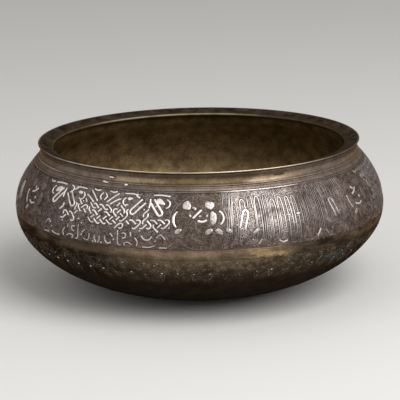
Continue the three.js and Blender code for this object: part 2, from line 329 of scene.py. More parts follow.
def ribbons(wall, paths, widths, bearing, crown, sides=8, cap=0.55, closed=False):
    """Straps carried along many paths (S, N, 2) at once, with one width, or widths (S,) or (S, N).

    Each path point gets a ring. For t round the circle its points lie cos(t) half widths across the path, and
    crown * sin(t) ** 0.6 out of the wall over the top or SINK below it. Past an open end the rings move on by
    cap * half width * sin(a) while they narrow by cos(a), which rounds the end."""
    paths, widths = np.asarray(paths, float), np.asarray(widths, float)
    half = np.broadcast_to(widths if widths.ndim == 2 else widths.reshape(-1, 1), paths.shape[:2]) / 2
    if closed:
        along = np.roll(paths, -1, 1) - np.roll(paths, 1, 1)
    else:
        along = np.gradient(paths, axis=1)
    along = along / np.maximum(np.linalg.norm(along, axis=-1, keepdims=True), 1e-9)
    narrow = np.ones_like(half)
    if not closed:
        turn = np.radians(CAP_TURNS)
        ahead = cap * np.sin(turn)[None, :, None]
        first = paths[:, :1] - along[:, :1] * ahead * half[:, :1, None]
        final = paths[:, -1:] + along[:, -1:] * ahead * half[:, -1:, None]
        paths = np.concatenate([first[:, ::-1], paths, final], 1)
        repeat = np.ones((1, len(turn), 1))
        along = np.concatenate([along[:, :1] * repeat, along, along[:, -1:] * repeat], 1)
        narrowing = np.cos(turn)[None] * np.ones((len(paths), 1))
        narrow = np.concatenate([narrowing[:, ::-1], narrow, narrowing], 1)
        half = np.concatenate([half[:, :1] * repeat[..., 0], half, half[:, -1:] * repeat[..., 0]], 1)
    across = np.stack([-along[..., 1], along[..., 0]], -1)
    t = (np.arange(sides) + (0.5 if sides == 4 else 0)) * 2 * np.pi / sides
    reach = np.cos(t) / np.cos(t[0])
    sideways = across[:, :, None] * (half * narrow)[..., None, None]
    xy = paths[:, :, None] + sideways * reach[None, None, :, None]
    over, under = np.maximum(np.sin(t), 0), np.maximum(-np.sin(t), 0)
    lift = crown * over ** SQUARENESS * narrow[..., None] ** 0.5 - SINK * under
    points = wall.place(xy[..., 0], xy[..., 1], lift, bearing)
    return points.reshape(-1, 3), tube_faces(len(paths), paths.shape[1], sides, closed)


def hoop(wall, arc, width, crown, steps, sides=8):
    """A ring of wire right round the bowl at an arc, with the same section as the straps."""
    t = np.arange(sides) * 2 * np.pi / sides
    lift = crown * np.maximum(np.sin(t), 0) ** SQUARENESS - SINK * np.maximum(-np.sin(t), 0)
    angle = np.linspace(0, 2 * np.pi, steps, endpoint=False)[:, None]
    points = wall.on(angle, arc + width / 2 * np.cos(t), lift)
    return points.reshape(-1, 3), tube_faces(1, steps, sides, closed=True)


def plates(wall, shapes, bearing, crown, spare=0.0, fineness=9):
    """Crowned plates, each (x, y, length, width, tilt, point), in mm and degrees.

    A square grid (u, v) is bent to a disc by u * sqrt(1 - v * v / 2) and v * sqrt(1 - u * u / 2), stretched
    to the length and width, made uneven by two waves round its edge, and narrowed by point towards its right
    end. It rises by crown * sqrt(1 - r ** 4) at a share r of the way out. A second grid, SINK below the wall,
    closes it from behind."""
    x, y, length, width, tilt, point = (np.array(column, float)[:, None, None] for column in zip(*shapes))
    u, v = np.meshgrid(np.linspace(-1, 1, fineness), np.linspace(-1, 1, fineness), indexing="ij")
    right, up = u * np.sqrt(1 - v * v / 2), v * np.sqrt(1 - u * u / 2)
    out = np.sqrt(np.maximum(1 - (right ** 2 + up ** 2) ** 2, 0))
    around, phase = np.arctan2(up, right), 7 * x + 3 * y
    uneven = 1 + 0.07 * np.sin(3 * around + phase) + 0.045 * np.sin(5 * around - phase)
    lean = np.radians(tilt)
    along = (length / 2 * uneven + spare) * right
    across = (width / 2 * uneven * (1 - point * np.maximum(right, 0)) + spare) * up
    flat_x = x + along * np.cos(lean) - across * np.sin(lean)
    flat_y = y + along * np.sin(lean) + across * np.cos(lean)
    front = wall.place(flat_x, flat_y, crown * out, bearing)
    back = wall.place(flat_x[:, 1:-1, 1:-1], flat_y[:, 1:-1, 1:-1], -SINK, bearing)
    points = np.concatenate([front.reshape(len(shapes), -1, 3), back.reshape(len(shapes), -1, 3)], 1)
    number = np.arange(fineness * fineness).reshape(fineness, fineness)
    behind = number.copy()
    behind[1:-1, 1:-1] = fineness ** 2 + np.arange((fineness - 2) ** 2).reshape(fineness - 2, fineness - 2)
    quads = np.concatenate([
        np.stack([number[:-1, :-1], number[1:, :-1], number[1:, 1:], number[:-1, 1:]], -1).reshape(-1, 4),
        np.stack([behind[:-1, :-1], behind[:-1, 1:], behind[1:, 1:], behind[1:, :-1]], -1).reshape(-1, 4)])
    each = np.arange(len(shapes))[:, None, None] * points.shape[1]
    return points.reshape(-1, 3), (each + quads).reshape(-1, 4)


def make_piece(name, parts, finish, replaced=(), fields=None):
    """One smooth object from (points, quads) parts, on the bowl's body. The slot follows from the finish."""
    offsets = np.cumsum([0] + [len(points) for points, _ in parts])
    points = np.concatenate([points for points, _ in parts])
    faces = np.concatenate([quads + offset for (_, quads), offset in zip(parts, offsets)])
    mesh = bpy.data.meshes.new(name)
    mesh.vertices.add(len(points))
    mesh.vertices.foreach_set("co", points.astype(np.float32).ravel())
    corners = faces.shape[1]
    mesh.loops.add(faces.size)
    mesh.loops.foreach_set("vertex_index", faces.astype(np.int32).ravel())
    mesh.polygons.add(len(faces))
    mesh.polygons.foreach_set("loop_start", np.arange(0, faces.size, corners, dtype=np.int32))
    mesh.polygons.foreach_set("use_smooth", np.ones(len(faces), bool))
    for field, values in (fields or {}).items():
        mesh.attributes.new(field, "FLOAT", "POINT").data.foreach_set("value", values.astype(np.float32))
    mesh.update(calc_edges=True)
    if mesh.validate():
        raise RuntimeError(f"{name} has broken faces")
    mesh.materials.append(finish_named(finish))
    piece = bpy.data.objects.new(name, mesh)
    bpy.context.scene.collection.objects.link(piece)
    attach(piece, BODY)
    if replaced:
        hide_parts(*replaced)


# Finishes

# Patches of rubbing, colour, painted light and painted shade round the bowl, by name: each a bearing, a reach
# in degrees and a strength
WEAR_AND_LIGHT = {
    # Rubbed silver, partly a painted highlight at the front right and a painted sheen at the sides
    "silver_rub_and_highlight": ((19, 14, 1.0), (40, 18, 0.2), (88, 26, 0.25), (150, 20, 0.4), (212, 26, 0.45),
                           (262, 18, 0.2), (-30, 24, 0.2)),
    # Silver by bearing: painted shade at the sides and the front roundel, painted light at the left, and a
    # painted highlight at the front right
    "silver_dull_and_side_shade": ((88, 30, 0.75), (-84, 24, 0.35), (47, 9, 0.5)),
    "silver_left_painted_light": ((-34, 34, 1.0),),
    "silver_kept_in_highlight": ((20, 16, 1.0),),
    "silver_painted_bright": ((-24, 34, 1.0),),
    "silver_front_painted_shade": ((5, 9, 0.5),),
    "silver_side_painted_shade": ((86, 24, 0.8),),
    # Painted light on the lower band's lines at the front
    "lower_lines_front_light": ((14, 46, 0.7),),
    "frieze_bare": ((4, 46, 1.0),),
    "frieze_bald": ((44, 20, 0.7),),
    # Painted light at the front of the lower band
    "lower_band_front_light": ((12, 48, 1.0),),
    "lower_band_lit_rise": ((-2, 29, 1.0),),
    # Painted light at the front of the plain band, and a painted gold highlight
    "plain_band_front_light": ((-1, 35, 0.6),),
    "plain_band_gold_highlight": ((20, 8, 1.0),),
    # Painted highlights on the collar at two bearings
    "collar_gold_highlights": ((-21, 11, 0.9), (28, 12, 1.1)),
    "collar_brown": ((4, 34, 1.0),),
    "collar_olive": ((2, 16, 1.0),),
    # Painted highlight: the collar's gleam
    "collar_highlight": ((23, 9, 0.85),),
    "collar_spot": ((28, 2.6, 0.8),),
    # Painted highlights along polished edges: the collar's foot, the lip, the bead and the pale edge
    "foot_highlight": ((-66, 14, 0.8),),
    "lip_highlight": ((-8, 66, 0.75),),
    "bead_highlight": ((-168, 44, 0.75),),
    "pale_edge_highlight": ((-64, 20, 1.0),),
    "verdigris": ((46, 6, 0.75),),
}
ROUNDEL_REACH = 18.85  # mm, where the browner lines of a roundel end
TARNISH_LOSS = (0.55, 0.62, 0.68)  # what full tarnish takes from red, green and blue
# For red, green and blue: the gain over the dirt's noise, and the least shade
DIRT_SHADES = ((0.46, 0.70), (0.48, 0.68), (0.5, 0.64))
SILVERS = {  # tarnish and pitting of each silver finish
    "worn_silver": (0.0, 0.0), "pitted_silver": (0.06, 1.0), "faded_silver": (0.3, 0.3),
    "dull_silver": (0.8, 0.6)}


class Value:
    """A shader socket. Arithmetic on it adds Math nodes to its tree."""

    def __init__(self, tree, socket):
        self.tree = tree
        self.socket = socket

    def math(self, operation, *others):
        return add_node(self.tree, "Math", {"operation": operation}, dict(enumerate((self, *others))))

    def __add__(self, other):
        return self.math("ADD", other)

    def __sub__(self, other):
        return self.math("SUBTRACT", other)

    def __rsub__(self, other):
        return (self * -1) + other

    def __mul__(self, other):
        return self.math("MULTIPLY", other)

    def __truediv__(self, other):
        return self.math("DIVIDE", other)

    def __pow__(self, other):
        return self.math("POWER", other)

    __radd__ = __add__
    __rmul__ = __mul__


def add_node(tree, kind, settings, values, output=0):
    """Adds a node, sets its settings and then its sockets, by name or number, to numbers or to links."""
    node = tree.nodes.new("ShaderNode" + kind)
    for key, setting in settings.items():
        setattr(node, key, setting)
    for key, value in values.items():
        socket = node.inputs[key]
        if isinstance(value, Value):
            tree.links.new(value.socket, socket)
        else:
            socket.default_value = (*value, 1) if socket.type == "RGBA" else value
    return Value(tree, node.outputs[output])


def tone(base, *factors):
    """A colour with its channels multiplied by one factor, or by one each."""
    factors = factors if len(factors) == 3 else factors * 3
    return tuple(channel * factor for channel, factor in zip(base, factors))


class Finish:
    """A metal finish being built: one Principled shader and the patterns that feed it."""

    def __init__(self, name, metallic=1.0, specular=0.5, tint=(1, 1, 1)):
        self.material = bpy.data.materials.new(name)
        self.material.use_nodes = True
        self.tree = self.material.node_tree
        self.tree.nodes.clear()
        self.shader = self.tree.nodes.new("ShaderNodeBsdfPrincipled")
        self.shader.inputs["Metallic"].default_value = metallic
        self.shader.inputs["Specular IOR Level"].default_value = specular
        self.shader.inputs["Specular Tint"].default_value = (*tint, 1)
        sink = self.tree.nodes.new("ShaderNodeOutputMaterial")
        self.tree.links.new(self.shader.outputs[0], sink.inputs["Surface"])
        self.place = self.node("TexCoord", {}, {}, output=3)
        axes = self.node("SeparateXYZ", {}, {0: self.place}).socket.node.outputs
        self.x, self.y, self.z = (Value(self.tree, socket) / MM for socket in axes)

    def node(self, kind, settings, values, output=0):
        return add_node(self.tree, kind, settings, values, output)

    def noise(self, size, detail=3.0, roughness=0.55, distortion=0.0, flat=1.0):
        """Soft noise from 0 to 1, with lumps of about a size in mm, flat times longer than high."""
        place = self.place
        if flat != 1:
            place = self.node("VectorMath", {"operation": "MULTIPLY"}, {0: place, 1: (1, 1, flat)})
        values = {"Vector": place, "Scale": 1 / (size * MM), "Detail": detail, "Roughness": roughness}
        return self.node("TexNoise", {}, {**values, "Distortion": distortion})

    def step(self, value, start, end):
        """0 before start and 1 after end, with a smooth change between."""
        return self.node("MapRange", {"interpolation_type": "SMOOTHSTEP"}, {0: value, 1: start, 2: end})

    def between(self, value, start, end, soft):
        """1 between start and end, fading out over soft on both sides."""
        return self.step(value, start - soft, start + soft) * (1 - self.step(value, end - soft, end + soft))

    def mix(self, share, first, second):
        """From the first colour to the second by a share."""
        return self.node("Mix", {"data_type": "RGBA"}, {0: share, 6: first, 7: second}, output=2)

    def near_bearing(self, bearing, reach):
        """1 within half a reach of a bearing, in degrees, fading out over another half."""
        turn = math.radians(bearing)
        away = (self.x * self.x + self.y * self.y) ** 0.5
        facing = (self.x * math.sin(turn) - self.y * math.cos(turn)) / away
        return self.step(facing, math.cos(math.radians(reach)), math.cos(math.radians(reach / 2)))

    def wear_and_light(self, name):
        """The patches of a name, added up."""
        return sum(self.near_bearing(bearing, reach) * strength for bearing, reach, strength in WEAR_AND_LIGHT[name])

    def rubbed_silver_and_highlight(self):
        """Where silver is rubbed over the frieze, partly a painted highlight and sheen where the lamps fall:
        a few stretches of it, broken up by noise.
        """
        broken = self.wear_and_light("silver_rub_and_highlight") * self.step(self.noise(9, 3), 0.25, 0.6)
        return broken * self.step(self.z, 52, 64)

    def finish(self, base, roughness, height, depth):
        """Wires up colour, roughness and a bump of some depth in mm."""
        self.tree.links.new(base.socket, self.shader.inputs["Base Color"])
        if isinstance(roughness, Value):
            self.tree.links.new(roughness.socket, self.shader.inputs["Roughness"])
        else:
            self.shader.inputs["Roughness"].default_value = roughness
        bump = self.node("Bump", {}, {"Strength": 1.0, "Distance": depth * MM, "Height": height})
        self.tree.links.new(bump.socket, self.shader.inputs["Normal"])
        return self.material


def silver_finish(colours, name):
    """Worn silver: pale, with dull blotches and pits, duller low on the frieze, darker at the bowl's sides
    and the front roundel with painted shade, and brighter at the left and in the front-right highlight with
    painted light.
    """
    tarnish, pitted = SILVERS[name]
    finish = Finish(name)
    low = 1 - finish.step(finish.z, 56, 66)
    blotch = finish.step(finish.noise(6, 4), 0.46, 0.70)
    pits = finish.step(finish.noise(1.4 - 0.4 * pitted, 3), 0.56 - 0.07 * pitted, 0.68)
    # Painted light at the left and a painted highlight at the front right keep the silver clean
    left = finish.wear_and_light("silver_left_painted_light")
    kept = (finish.wear_and_light("silver_kept_in_highlight") + left * (0.5 if tarnish < 0.5 else 0)) * tarnish + left * low * 0.2
    dull = blotch * 0.35 + low * 0.45 + pits * (0.3 + 0.35 * pitted) + finish.wear_and_light("silver_dull_and_side_shade")
    dull = (dull + tarnish + 0.12 * pitted - kept).math("MINIMUM", 0.96).math("MAXIMUM", 0.0)
    dark = tone(colours.silver_tarnish, *(1 - loss * tarnish for loss in TARNISH_LOSS))
    clean = tone(colours.silver, 1 - 0.2 * pitted)
    # Painted light at the left, and painted shade at the front roundel and at the right side
    clean = finish.mix(finish.wear_and_light("silver_painted_bright"), clean, tone(clean, 1.22))
    clean = finish.mix(finish.wear_and_light("silver_front_painted_shade"), clean, tone(colours.silver, 0.62))
    base = finish.mix(dull, clean, dark)
    base = finish.mix(finish.wear_and_light("silver_side_painted_shade"), base, tone(dark, 0.55))
    relief = finish.noise(0.5, 3) * 0.6 + finish.noise(1.8, 2) * (1 + pitted)
    return finish.finish(base, 0.36 + dull * 0.2, relief, 0.1)


def bed_finish(colours):
    """Black dirt in the cut round each silver piece."""
    finish = Finish("cut_edge", metallic=0.2, specular=0.25)
    base = finish.mix(finish.noise(1.5, 3), colours.cut_edge, tone(colours.cut_edge, 2.2))
    return finish.finish(base, 0.6, finish.noise(0.3, 2), 0.05)


def line_finish(colours):
    """Brass left between the cuts, silvery where silver is rubbed over it and where a highlight is painted,
    and darker below the frieze, with painted light at the front.
    """
    finish = Finish("engraved_line", metallic=0.8, tint=(0.5, 0.41, 0.35))
    worn = finish.step(finish.noise(3.5, 4), 0.38, 0.64)
    base = finish.mix(worn, tone(colours.line_brass, 0.45), colours.line_brass)
    base = finish.mix(finish.rubbed_silver_and_highlight(), base, colours.line_silvery)
    shown = worn * (finish.wear_and_light("lower_lines_front_light") + 0.3)
    low = finish.mix(shown, tone(colours.lower_light, 0.2), tone(colours.lower_light, 1.1))
    base = finish.mix(finish.step(finish.z, 50.5, 49.5), base, low)
    return finish.finish(base, 0.40, finish.noise(0.4, 2), 0.03)


class Brass(Finish):
    """Aged brass, in zones by the run along the section: underside, bands, frieze, collar, rim and inside.

    Each zone has a colour and a share of bare metal. Its edge is a smooth step on the run, broken by noise
    up to the frieze. The section's own curve says where hands have polished it and painted highlights lie
    (convex), and where dirt and painted shade stay (hollow)."""

    def __init__(self, colours, wall, marks):
        super().__init__("old_brass", specular=0.0, tint=(0.42, 0.32, 0.24))
        self.colours, self.wall, self.marks = colours, wall, marks
        self.run = self.node("Attribute", {"attribute_name": "run"}, {}, output=2)
        self.bend = self.node("Attribute", {"attribute_name": "bend"}, {}, output=2)
        self.up = self.run - float(wall.arc[-1])
        self.broad, self.middling, self.fine = self.noise(26, 3), self.noise(7, 4), self.noise(1.3, 4)
        self.streaks = self.noise(16, 4, 0.6, flat=4)
        self.patches = self.broad * 0.5 + self.streaks * 0.5
        self.scrolls = self.contours(4.0, 34, -0.1, 0.75) * self.step(self.fine, 0.30, 0.48)
        self.rings = self.contours(3.4, 40, -0.2, 0.7) * self.step(self.fine, 0.36, 0.56)

    def contours(self, size, lines, low, high):
        """Contour lines of a soft noise: the sine of noise times lines, stepped between two levels."""
        return self.step((self.noise(size, 1.0, 0.5, 0.9) * lines).math("SINE"), low, high)

    def uneven(self, along, noise, amount):
        """A run or a rise, in mm, moved by noise over an amount."""
        return along + (noise - 0.5) * amount

    def lower_band(self):
        """Fine lines on a dark ground, lighter at the front and towards the plain band with painted light."""
        colours, top = self.colours, self.wall.band_top
        # Lit and shaded copies of the ground: painted light at the front and towards the plain band
        dark, light = tone(colours.lower_band, 0.5), tone(colours.lower_band, 1.25)
        ground = self.mix(self.wear_and_light("lower_band_front_light"), dark, light)
        rise = self.step(self.uneven(self.run, self.middling, 5), top - 10, top + 1.5)
        ground = self.mix(rise * self.wear_and_light("lower_band_lit_rise"), ground, tone(colours.plain_band, 0.85))
        return self.mix(self.rings * self.step(self.middling, 0.40, 0.62) * 0.5, ground, colours.lower_light)

    def plain_band(self):
        """Olive brass, tarnished in patches, with painted light at the front, painted shade at its foot, and
        a painted gold highlight beside the front roundel.
        """
        colours, top = self.colours, self.wall.band_top
        # Rubbed patches, with painted light at the front and painted shade towards the foot
        rubbed = self.step(self.patches, 0.40, 0.60) * 0.4 + self.wear_and_light("plain_band_front_light")
        rubbed = rubbed * (self.step(self.uneven(self.run, self.streaks, 6), top - 0.5, top + 4) * 0.5 + 0.5)
        plain = self.mix(rubbed, tone(colours.plain_band, 0.17), tone(colours.plain_band, 1.5))
        golden = self.wear_and_light("plain_band_gold_highlight") * self.step(self.streaks, 0.42, 0.58)
        return self.mix(golden, plain, colours.gold)

    def frieze(self):
        """Engraved lines, silvery (partly a painted highlight), rubbed bare or browner in the roundels, on a
        ground with bald patches.
        """
        # The silvered share is partly a painted highlight
        colours, silvered = self.colours, self.rubbed_silver_and_highlight()
        lines = self.mix(silvered, colours.frieze_light, colours.frieze_silvery)
        bare = self.step(self.z, 60.5, 53.5) * self.wear_and_light("frieze_bare") * self.step(self.middling, 0.3, 0.5)
        lines = self.mix(bare, lines, tone(colours.plain_band, 1.15))
        reach = math.degrees(ROUNDEL_REACH / self.wall.drawn_radius)
        for bearing in ROUNDEL_BEARINGS:
            inside = self.near_bearing(bearing, reach) * (0.25 if bearing else 1)
            lines = self.mix(inside, lines, colours.roundel)
        bald = self.step(self.middling * 0.45 + self.broad * 0.3 + self.fine * 0.25, 0.53, 0.60) * 0.55
        bald = bald + self.wear_and_light("frieze_bald") * self.step(self.middling, 0.36, 0.58)
        bald = bald.math("MINIMUM", 0.85)
        brassy = tone(colours.plain_band, 1.35, 1.35, 1.6)
        ground = self.mix(silvered * 0.5, colours.frieze, tone(colours.frieze_silvery, 0.5))
        return self.mix(self.scrolls, self.mix(bald * 0.4, ground, brassy), self.mix(bald, lines, brassy))

    def shoulder(self):
        """Grey-brown brass in streaks."""
        return self.mix(self.streaks, tone(self.colours.shoulder, 0.6), tone(self.colours.shoulder, 1.3))

    def collar(self):
        """Grey brass, brown and olive at the front, with golden patches that are partly painted highlights, a
        painted gleam, a top darkened with painted shade under the lip, and one spot.
        """
        colours = self.colours
        # Painted light: a lit band across the middle of the collar's face, which brightens the olive and the
        # golden patches
        face = self.between(self.uneven(self.up, self.streaks, 3), 2.4, 4.8, 1.0) * 0.8 + 0.2
        golden = (self.wear_and_light("collar_gold_highlights") + self.step(self.patches, 0.46, 0.6) * 0.35) * face
        grey, brown = tone(colours.collar, 1.8, 2.0, 2.4), tone(colours.collar, 1.1)
        base = self.mix(self.wear_and_light("collar_brown"), grey, brown)
        base = self.mix(self.wear_and_light("collar_olive") * face, base, colours.collar_olive)
        base = self.mix(golden.math("MINIMUM", 1.0), base, colours.collar_tan_and_highlight)
        gleam_share = self.wear_and_light("collar_highlight") * self.between(self.uneven(self.up, self.streaks, 2), 1.8, 3.4, 0.7)
        base = self.mix(gleam_share, base, colours.collar_highlight)
        # Painted shade under the overhanging lip
        base = self.mix(self.step(self.up, 4.6, 6.2) * 0.55, base, tone(colours.collar, 0.4))
        spot = self.wear_and_light("collar_spot") * self.between(self.uneven(self.up, self.fine, 2), 4.3, 5.6, 0.5)
        return self.mix(spot, base, colours.cut_edge)

    def rim(self):
        """Mottled grey-brown, golden towards the bead."""
        colours, bead = self.colours, self.marks["bead"]
        mottling = self.step(self.middling * 0.6 + self.fine * 0.4, 0.38, 0.62)
        base = self.mix(mottling, tone(colours.rim, 0.6), tone(colours.rim, 1.2))
        inner = self.step(self.uneven(self.run, self.middling, 4), bead - 4.2, bead - 1.8)
        return self.mix(inner * 0.8, base, tone(colours.inside, 0.55))

    def inside(self):
        """Dark olive brass with tan mottling that grows towards the floor as painted light."""
        # Painted light on the floor inside
        painted_floor_light = self.step(self.z, 72, 24)
        blotches = self.broad * 0.4 + self.middling * 0.4 + self.streaks * 0.2
        tan = self.step(blotches, 0.34, 0.66) * (painted_floor_light * 0.5 + 0.16) + painted_floor_light * 0.36
        return self.mix(tan.math("MINIMUM", 1.0), self.colours.inside, tone(self.colours.inside_tan, 1.1))

    def zones(self):
        """Colour and share of bare metal with the zones laid over one another, from the underside inwards."""
        wall, marks, run = self.wall, self.marks, self.run
        ragged, frayed = self.uneven(run, self.middling, 3.0), self.uneven(run, self.fine, 3.5)
        base, bare = self.colours.base, 0.1
        for start, soft, along, zone, metal in (
                (wall.band_bottom - 4.5, 6.5, ragged, self.lower_band(), 0.2),
                (wall.band_top + 0.1, 1.6, frayed, self.plain_band(), 0.5),
                (wall.frieze_foot, 1.0, frayed, self.frieze(), 0.75),
                (wall.top + 0.5, 0.3, run, self.shoulder(), 0.7),
                (wall.arc[-1] - 0.1, 0.2, run, self.collar(), 0.8),
                (marks["rim"], 0.5, run, self.rim(), 0.05),
                (marks["inside"], 1.0, run, self.inside(), 0.4)):
            share = self.step(along, start - soft, start + soft)
            base = self.mix(share, base, zone)
            bare = share * (metal - bare) + bare
        return base, bare

    def polish_and_highlights(self):
        """Convex edges that hands have polished, with painted highlights where the lamps catch them: the foot
        of the collar, the lip and the bead.
        """
        foot, lip, rim, bead = self.wall.arc[-1], self.marks["lip"], self.marks["rim"], self.marks["bead"]
        edges = sum(self.between(self.run, start, end, soft) * (self.wear_and_light(name) + least)
                    for start, end, soft, name, least in (
                        (foot - 0.2, foot + 1.6, 0.2, "foot_highlight", 0.1),
                        (lip, rim + 0.5, 0.2, "lip_highlight", 0.1),
                        (bead - 0.5, bead + 0.9, 0.25, "bead_highlight", 0.16)))
        return self.step(self.bend, 0.12, 0.5) * edges * (self.step(self.middling, 0.3, 0.55) * 0.35 + 0.65)

    def relief(self):
        """Grain everywhere, and the engraved lines of the frieze and the lower band."""
        wall = self.wall
        in_frieze = self.between(self.run, wall.frieze_foot, wall.top - 0.4, 0.2)
        in_lower = self.between(self.run, wall.band_bottom, wall.band_top, 0.4)
        grain = self.fine * 0.5 + self.noise(0.45, 3) * 0.4
        return grain + in_frieze * self.scrolls * 0.9 + in_lower * self.rings * 0.7

    def build(self):
        """The zones with dirt and painted shade over them, polish and painted highlights on the edges, and a
        spot of verdigris.
        """
        colours = self.colours
        base, bare = self.zones()
        dirt = self.step(self.middling * 0.5 + self.fine * 0.5, 0.36, 0.64)
        channels = {number: dirt * gain + least for number, (gain, least) in enumerate(DIRT_SHADES)}
        shade = self.node("CombineColor", {}, channels)
        multiply = {"data_type": "RGBA", "blend_type": "MULTIPLY"}
        base = self.node("Mix", multiply, {0: 1.0, 6: base, 7: shade}, output=2)
        # Dirt and painted shade in the hollows of the section
        hollow = self.step(self.bend, -0.12, -0.5)
        base = self.mix(hollow * (0.75 - 0.4 * self.step(self.up, 3.0, 4.0)), base, colours.cut_edge)
        polished = self.polish_and_highlights()
        base = self.mix(polished, base, self.mix(self.wear_and_light("pale_edge_highlight"), colours.edge, colours.pale_edge_highlight))
        green = self.wear_and_light("verdigris") * self.between(self.run, -19.5, -14.0, 2)
        green = green * self.step(self.fine, 0.40, 0.56)
        base = self.mix(green, base, colours.verdigris)
        bare = (bare + polished * 0.5 - hollow * 0.4).math("MINIMUM", 1.0)
        self.tree.links.new(bare.math("MAXIMUM", 0.0).socket, self.shader.inputs["Metallic"])
        return self.finish(base, 0.58 - bare * 0.15 - dirt * 0.06 - polished * 0.1, self.relief(), 0.09)


def finish_named(name):
    """A finish of this bowl, made when it is first asked for."""
    scene = bpy.context.scene
    if name in bpy.data.materials:
        return bpy.data.materials[name]
    if name in SILVERS:
        return silver_finish(scene.bowl_colours, name)
    if name == "old_brass":
        wall = Wall(scene)
        return Brass(scene.bowl_colours, wall, bowl_section(scene.bowl_body, wall)[-1]).build()
    return {"cut_edge": bed_finish, "engraved_line": line_finish}[name](scene.bowl_colours)


# Body

def bowl_section(sizes, wall):
    """Closed section of the bowl: up the outside, over the rim and down the inside.

    Gives radius and height of each point, the arc used for its dents, its outward direction, its run along
    the section, how sharply the section bends there (from -1, hollow, to 1, convex), and the runs at which
    the lip, the rim, its bead and the inside start."""
    groove, groove_width = 0.2, 0.3
    lines = (wall.arc[-1] - 0.5, wall.top + 0.8, wall.top - 0.7, wall.frieze_foot + 0.3,
             wall.frieze_foot - 0.7, wall.band_top, wall.band_bottom)
    near = np.array([-0.7, -0.35, 0.0, 0.35, 0.7])
    even = np.linspace(wall.arc[0], wall.arc[-1], 106)
    arcs = np.unique(np.concatenate([even, *(line + near for line in lines)]))
    arcs = arcs[arcs <= wall.arc[-1]]
    cut = sum(-groove * np.exp(-((arcs - line) / groove_width) ** 2) for line in lines)

    def normal(at):
        return np.stack([np.interp(at, wall.arc, wall.out), np.interp(at, wall.arc, wall.up)], -1)

    def flat(at):
        return np.stack([np.interp(at, wall.arc, wall.radius), np.interp(at, wall.arc, wall.height)], -1)

    outer = flat(arcs) + normal(arcs) * cut[:, None]
    collar, top, foot = sizes.collar_radius / MM, sizes.lip_top / MM, wall.foot
    waist = collar - sizes.collar_waist / MM
    bar = rounded([(collar - 0.35, foot + 0.05), (collar + 0.05, foot + 0.25), (collar + 0.1, foot + 0.8),
                   (waist, foot + 1.35), (waist - 0.15, foot + 2.0)], 2)
    share = np.linspace(0.06, 0.94, 12)
    hollow_radius = waist - 0.15 - 0.32 * np.sin(np.pi * share)
    hollow = np.stack([hollow_radius, foot + 2.0 + share * (top - foot - 4.1)], -1)
    lip = rounded([(waist - 0.12, top - 2.1), (waist - 0.2, top - 1.8), (waist - 0.5, top - 1.6),
                   (waist - 0.5, top - 1.0), (collar - 0.2, top - 0.8), (collar, top - 0.6),
                   (collar, top - 0.2), (collar - 0.3, top)], 2)

    slope = np.array([-sizes.rim_width, -sizes.rim_drop]) / math.hypot(sizes.rim_width, sizes.rim_drop)
    upward = np.array([slope[1], -slope[0]])
    thick, bead = sizes.rim_thickness / MM, sizes.bead_radius / MM
    rim_end = np.array([collar - sizes.rim_width / MM, top - sizes.rim_drop / MM])
    share = np.linspace(0.06, 0.86, 9)[:, None]
    sag = upward * -0.12 * np.sin(np.pi * share)
    rim = np.array([collar - 0.3, top]) * (1 - share) + rim_end * share + sag
    lift = math.acos(thick / 2 / bead)
    turn = np.linspace(lift, np.pi - lift, 11)[:, None]
    round_edge = rim_end - upward * thick / 2 + upward * bead * np.cos(turn) + slope * bead * np.sin(turn)
    neck = waist - sizes.wall / MM
    corner = top + slope[1] * (neck - collar) / slope[0]
    neck_points = np.array([(neck, corner - thick / -slope[0]), (neck, (corner + foot) / 2 - 1),
                            (neck, foot)])

    inner_arcs = np.linspace(wall.arc[-1], wall.arc[0], 58)[1:]
    inner = flat(inner_arcs) - normal(inner_arcs) * sizes.wall / MM
    floor_radius = sizes.base_radius / MM * np.array([0.85, 0.65, 0.45, 0.25, 0.08])
    underneath = np.stack([floor_radius[::-1], 0 * floor_radius], -1)
    floor = np.stack([floor_radius, 0 * floor_radius + sizes.wall / MM], -1)

    pieces = [underneath, outer, bar, hollow, lip, rim, round_edge, neck_points, inner, floor]
    section = np.concatenate(pieces)
    collar_arcs = [np.full(len(part), wall.arc[-1]) for part in pieces[2:8]]
    dent_arc = np.concatenate([np.full(len(underneath), wall.arc[0]), arcs, *collar_arcs,
                               inner_arcs, np.full(len(floor), wall.arc[0])])
    steps = np.diff(section, axis=0)
    lengths = np.hypot(*steps.T)
    run = np.concatenate([[0], np.cumsum(lengths)])
    heading = np.unwrap(np.arctan2(steps[:, 1], steps[:, 0]))
    curve = np.concatenate([[0], np.diff(heading) / (0.5 * (lengths[1:] + lengths[:-1]) + 0.05), [0]])
    bend = np.tanh(0.45 * np.convolve(np.pad(curve, 1, "edge"), [0.25, 0.5, 0.25], "valid"))
    counts = np.cumsum([len(part) for part in pieces])
    run += wall.arc[-1] - run[counts[1] - 1]
    marks = {"lip": run[counts[3]] + 1.5, "rim": run[counts[4]], "bead": run[counts[5]],
             "inside": run[counts[6]]}
    return section, dent_arc, normal(dent_arc), run, bend, marks


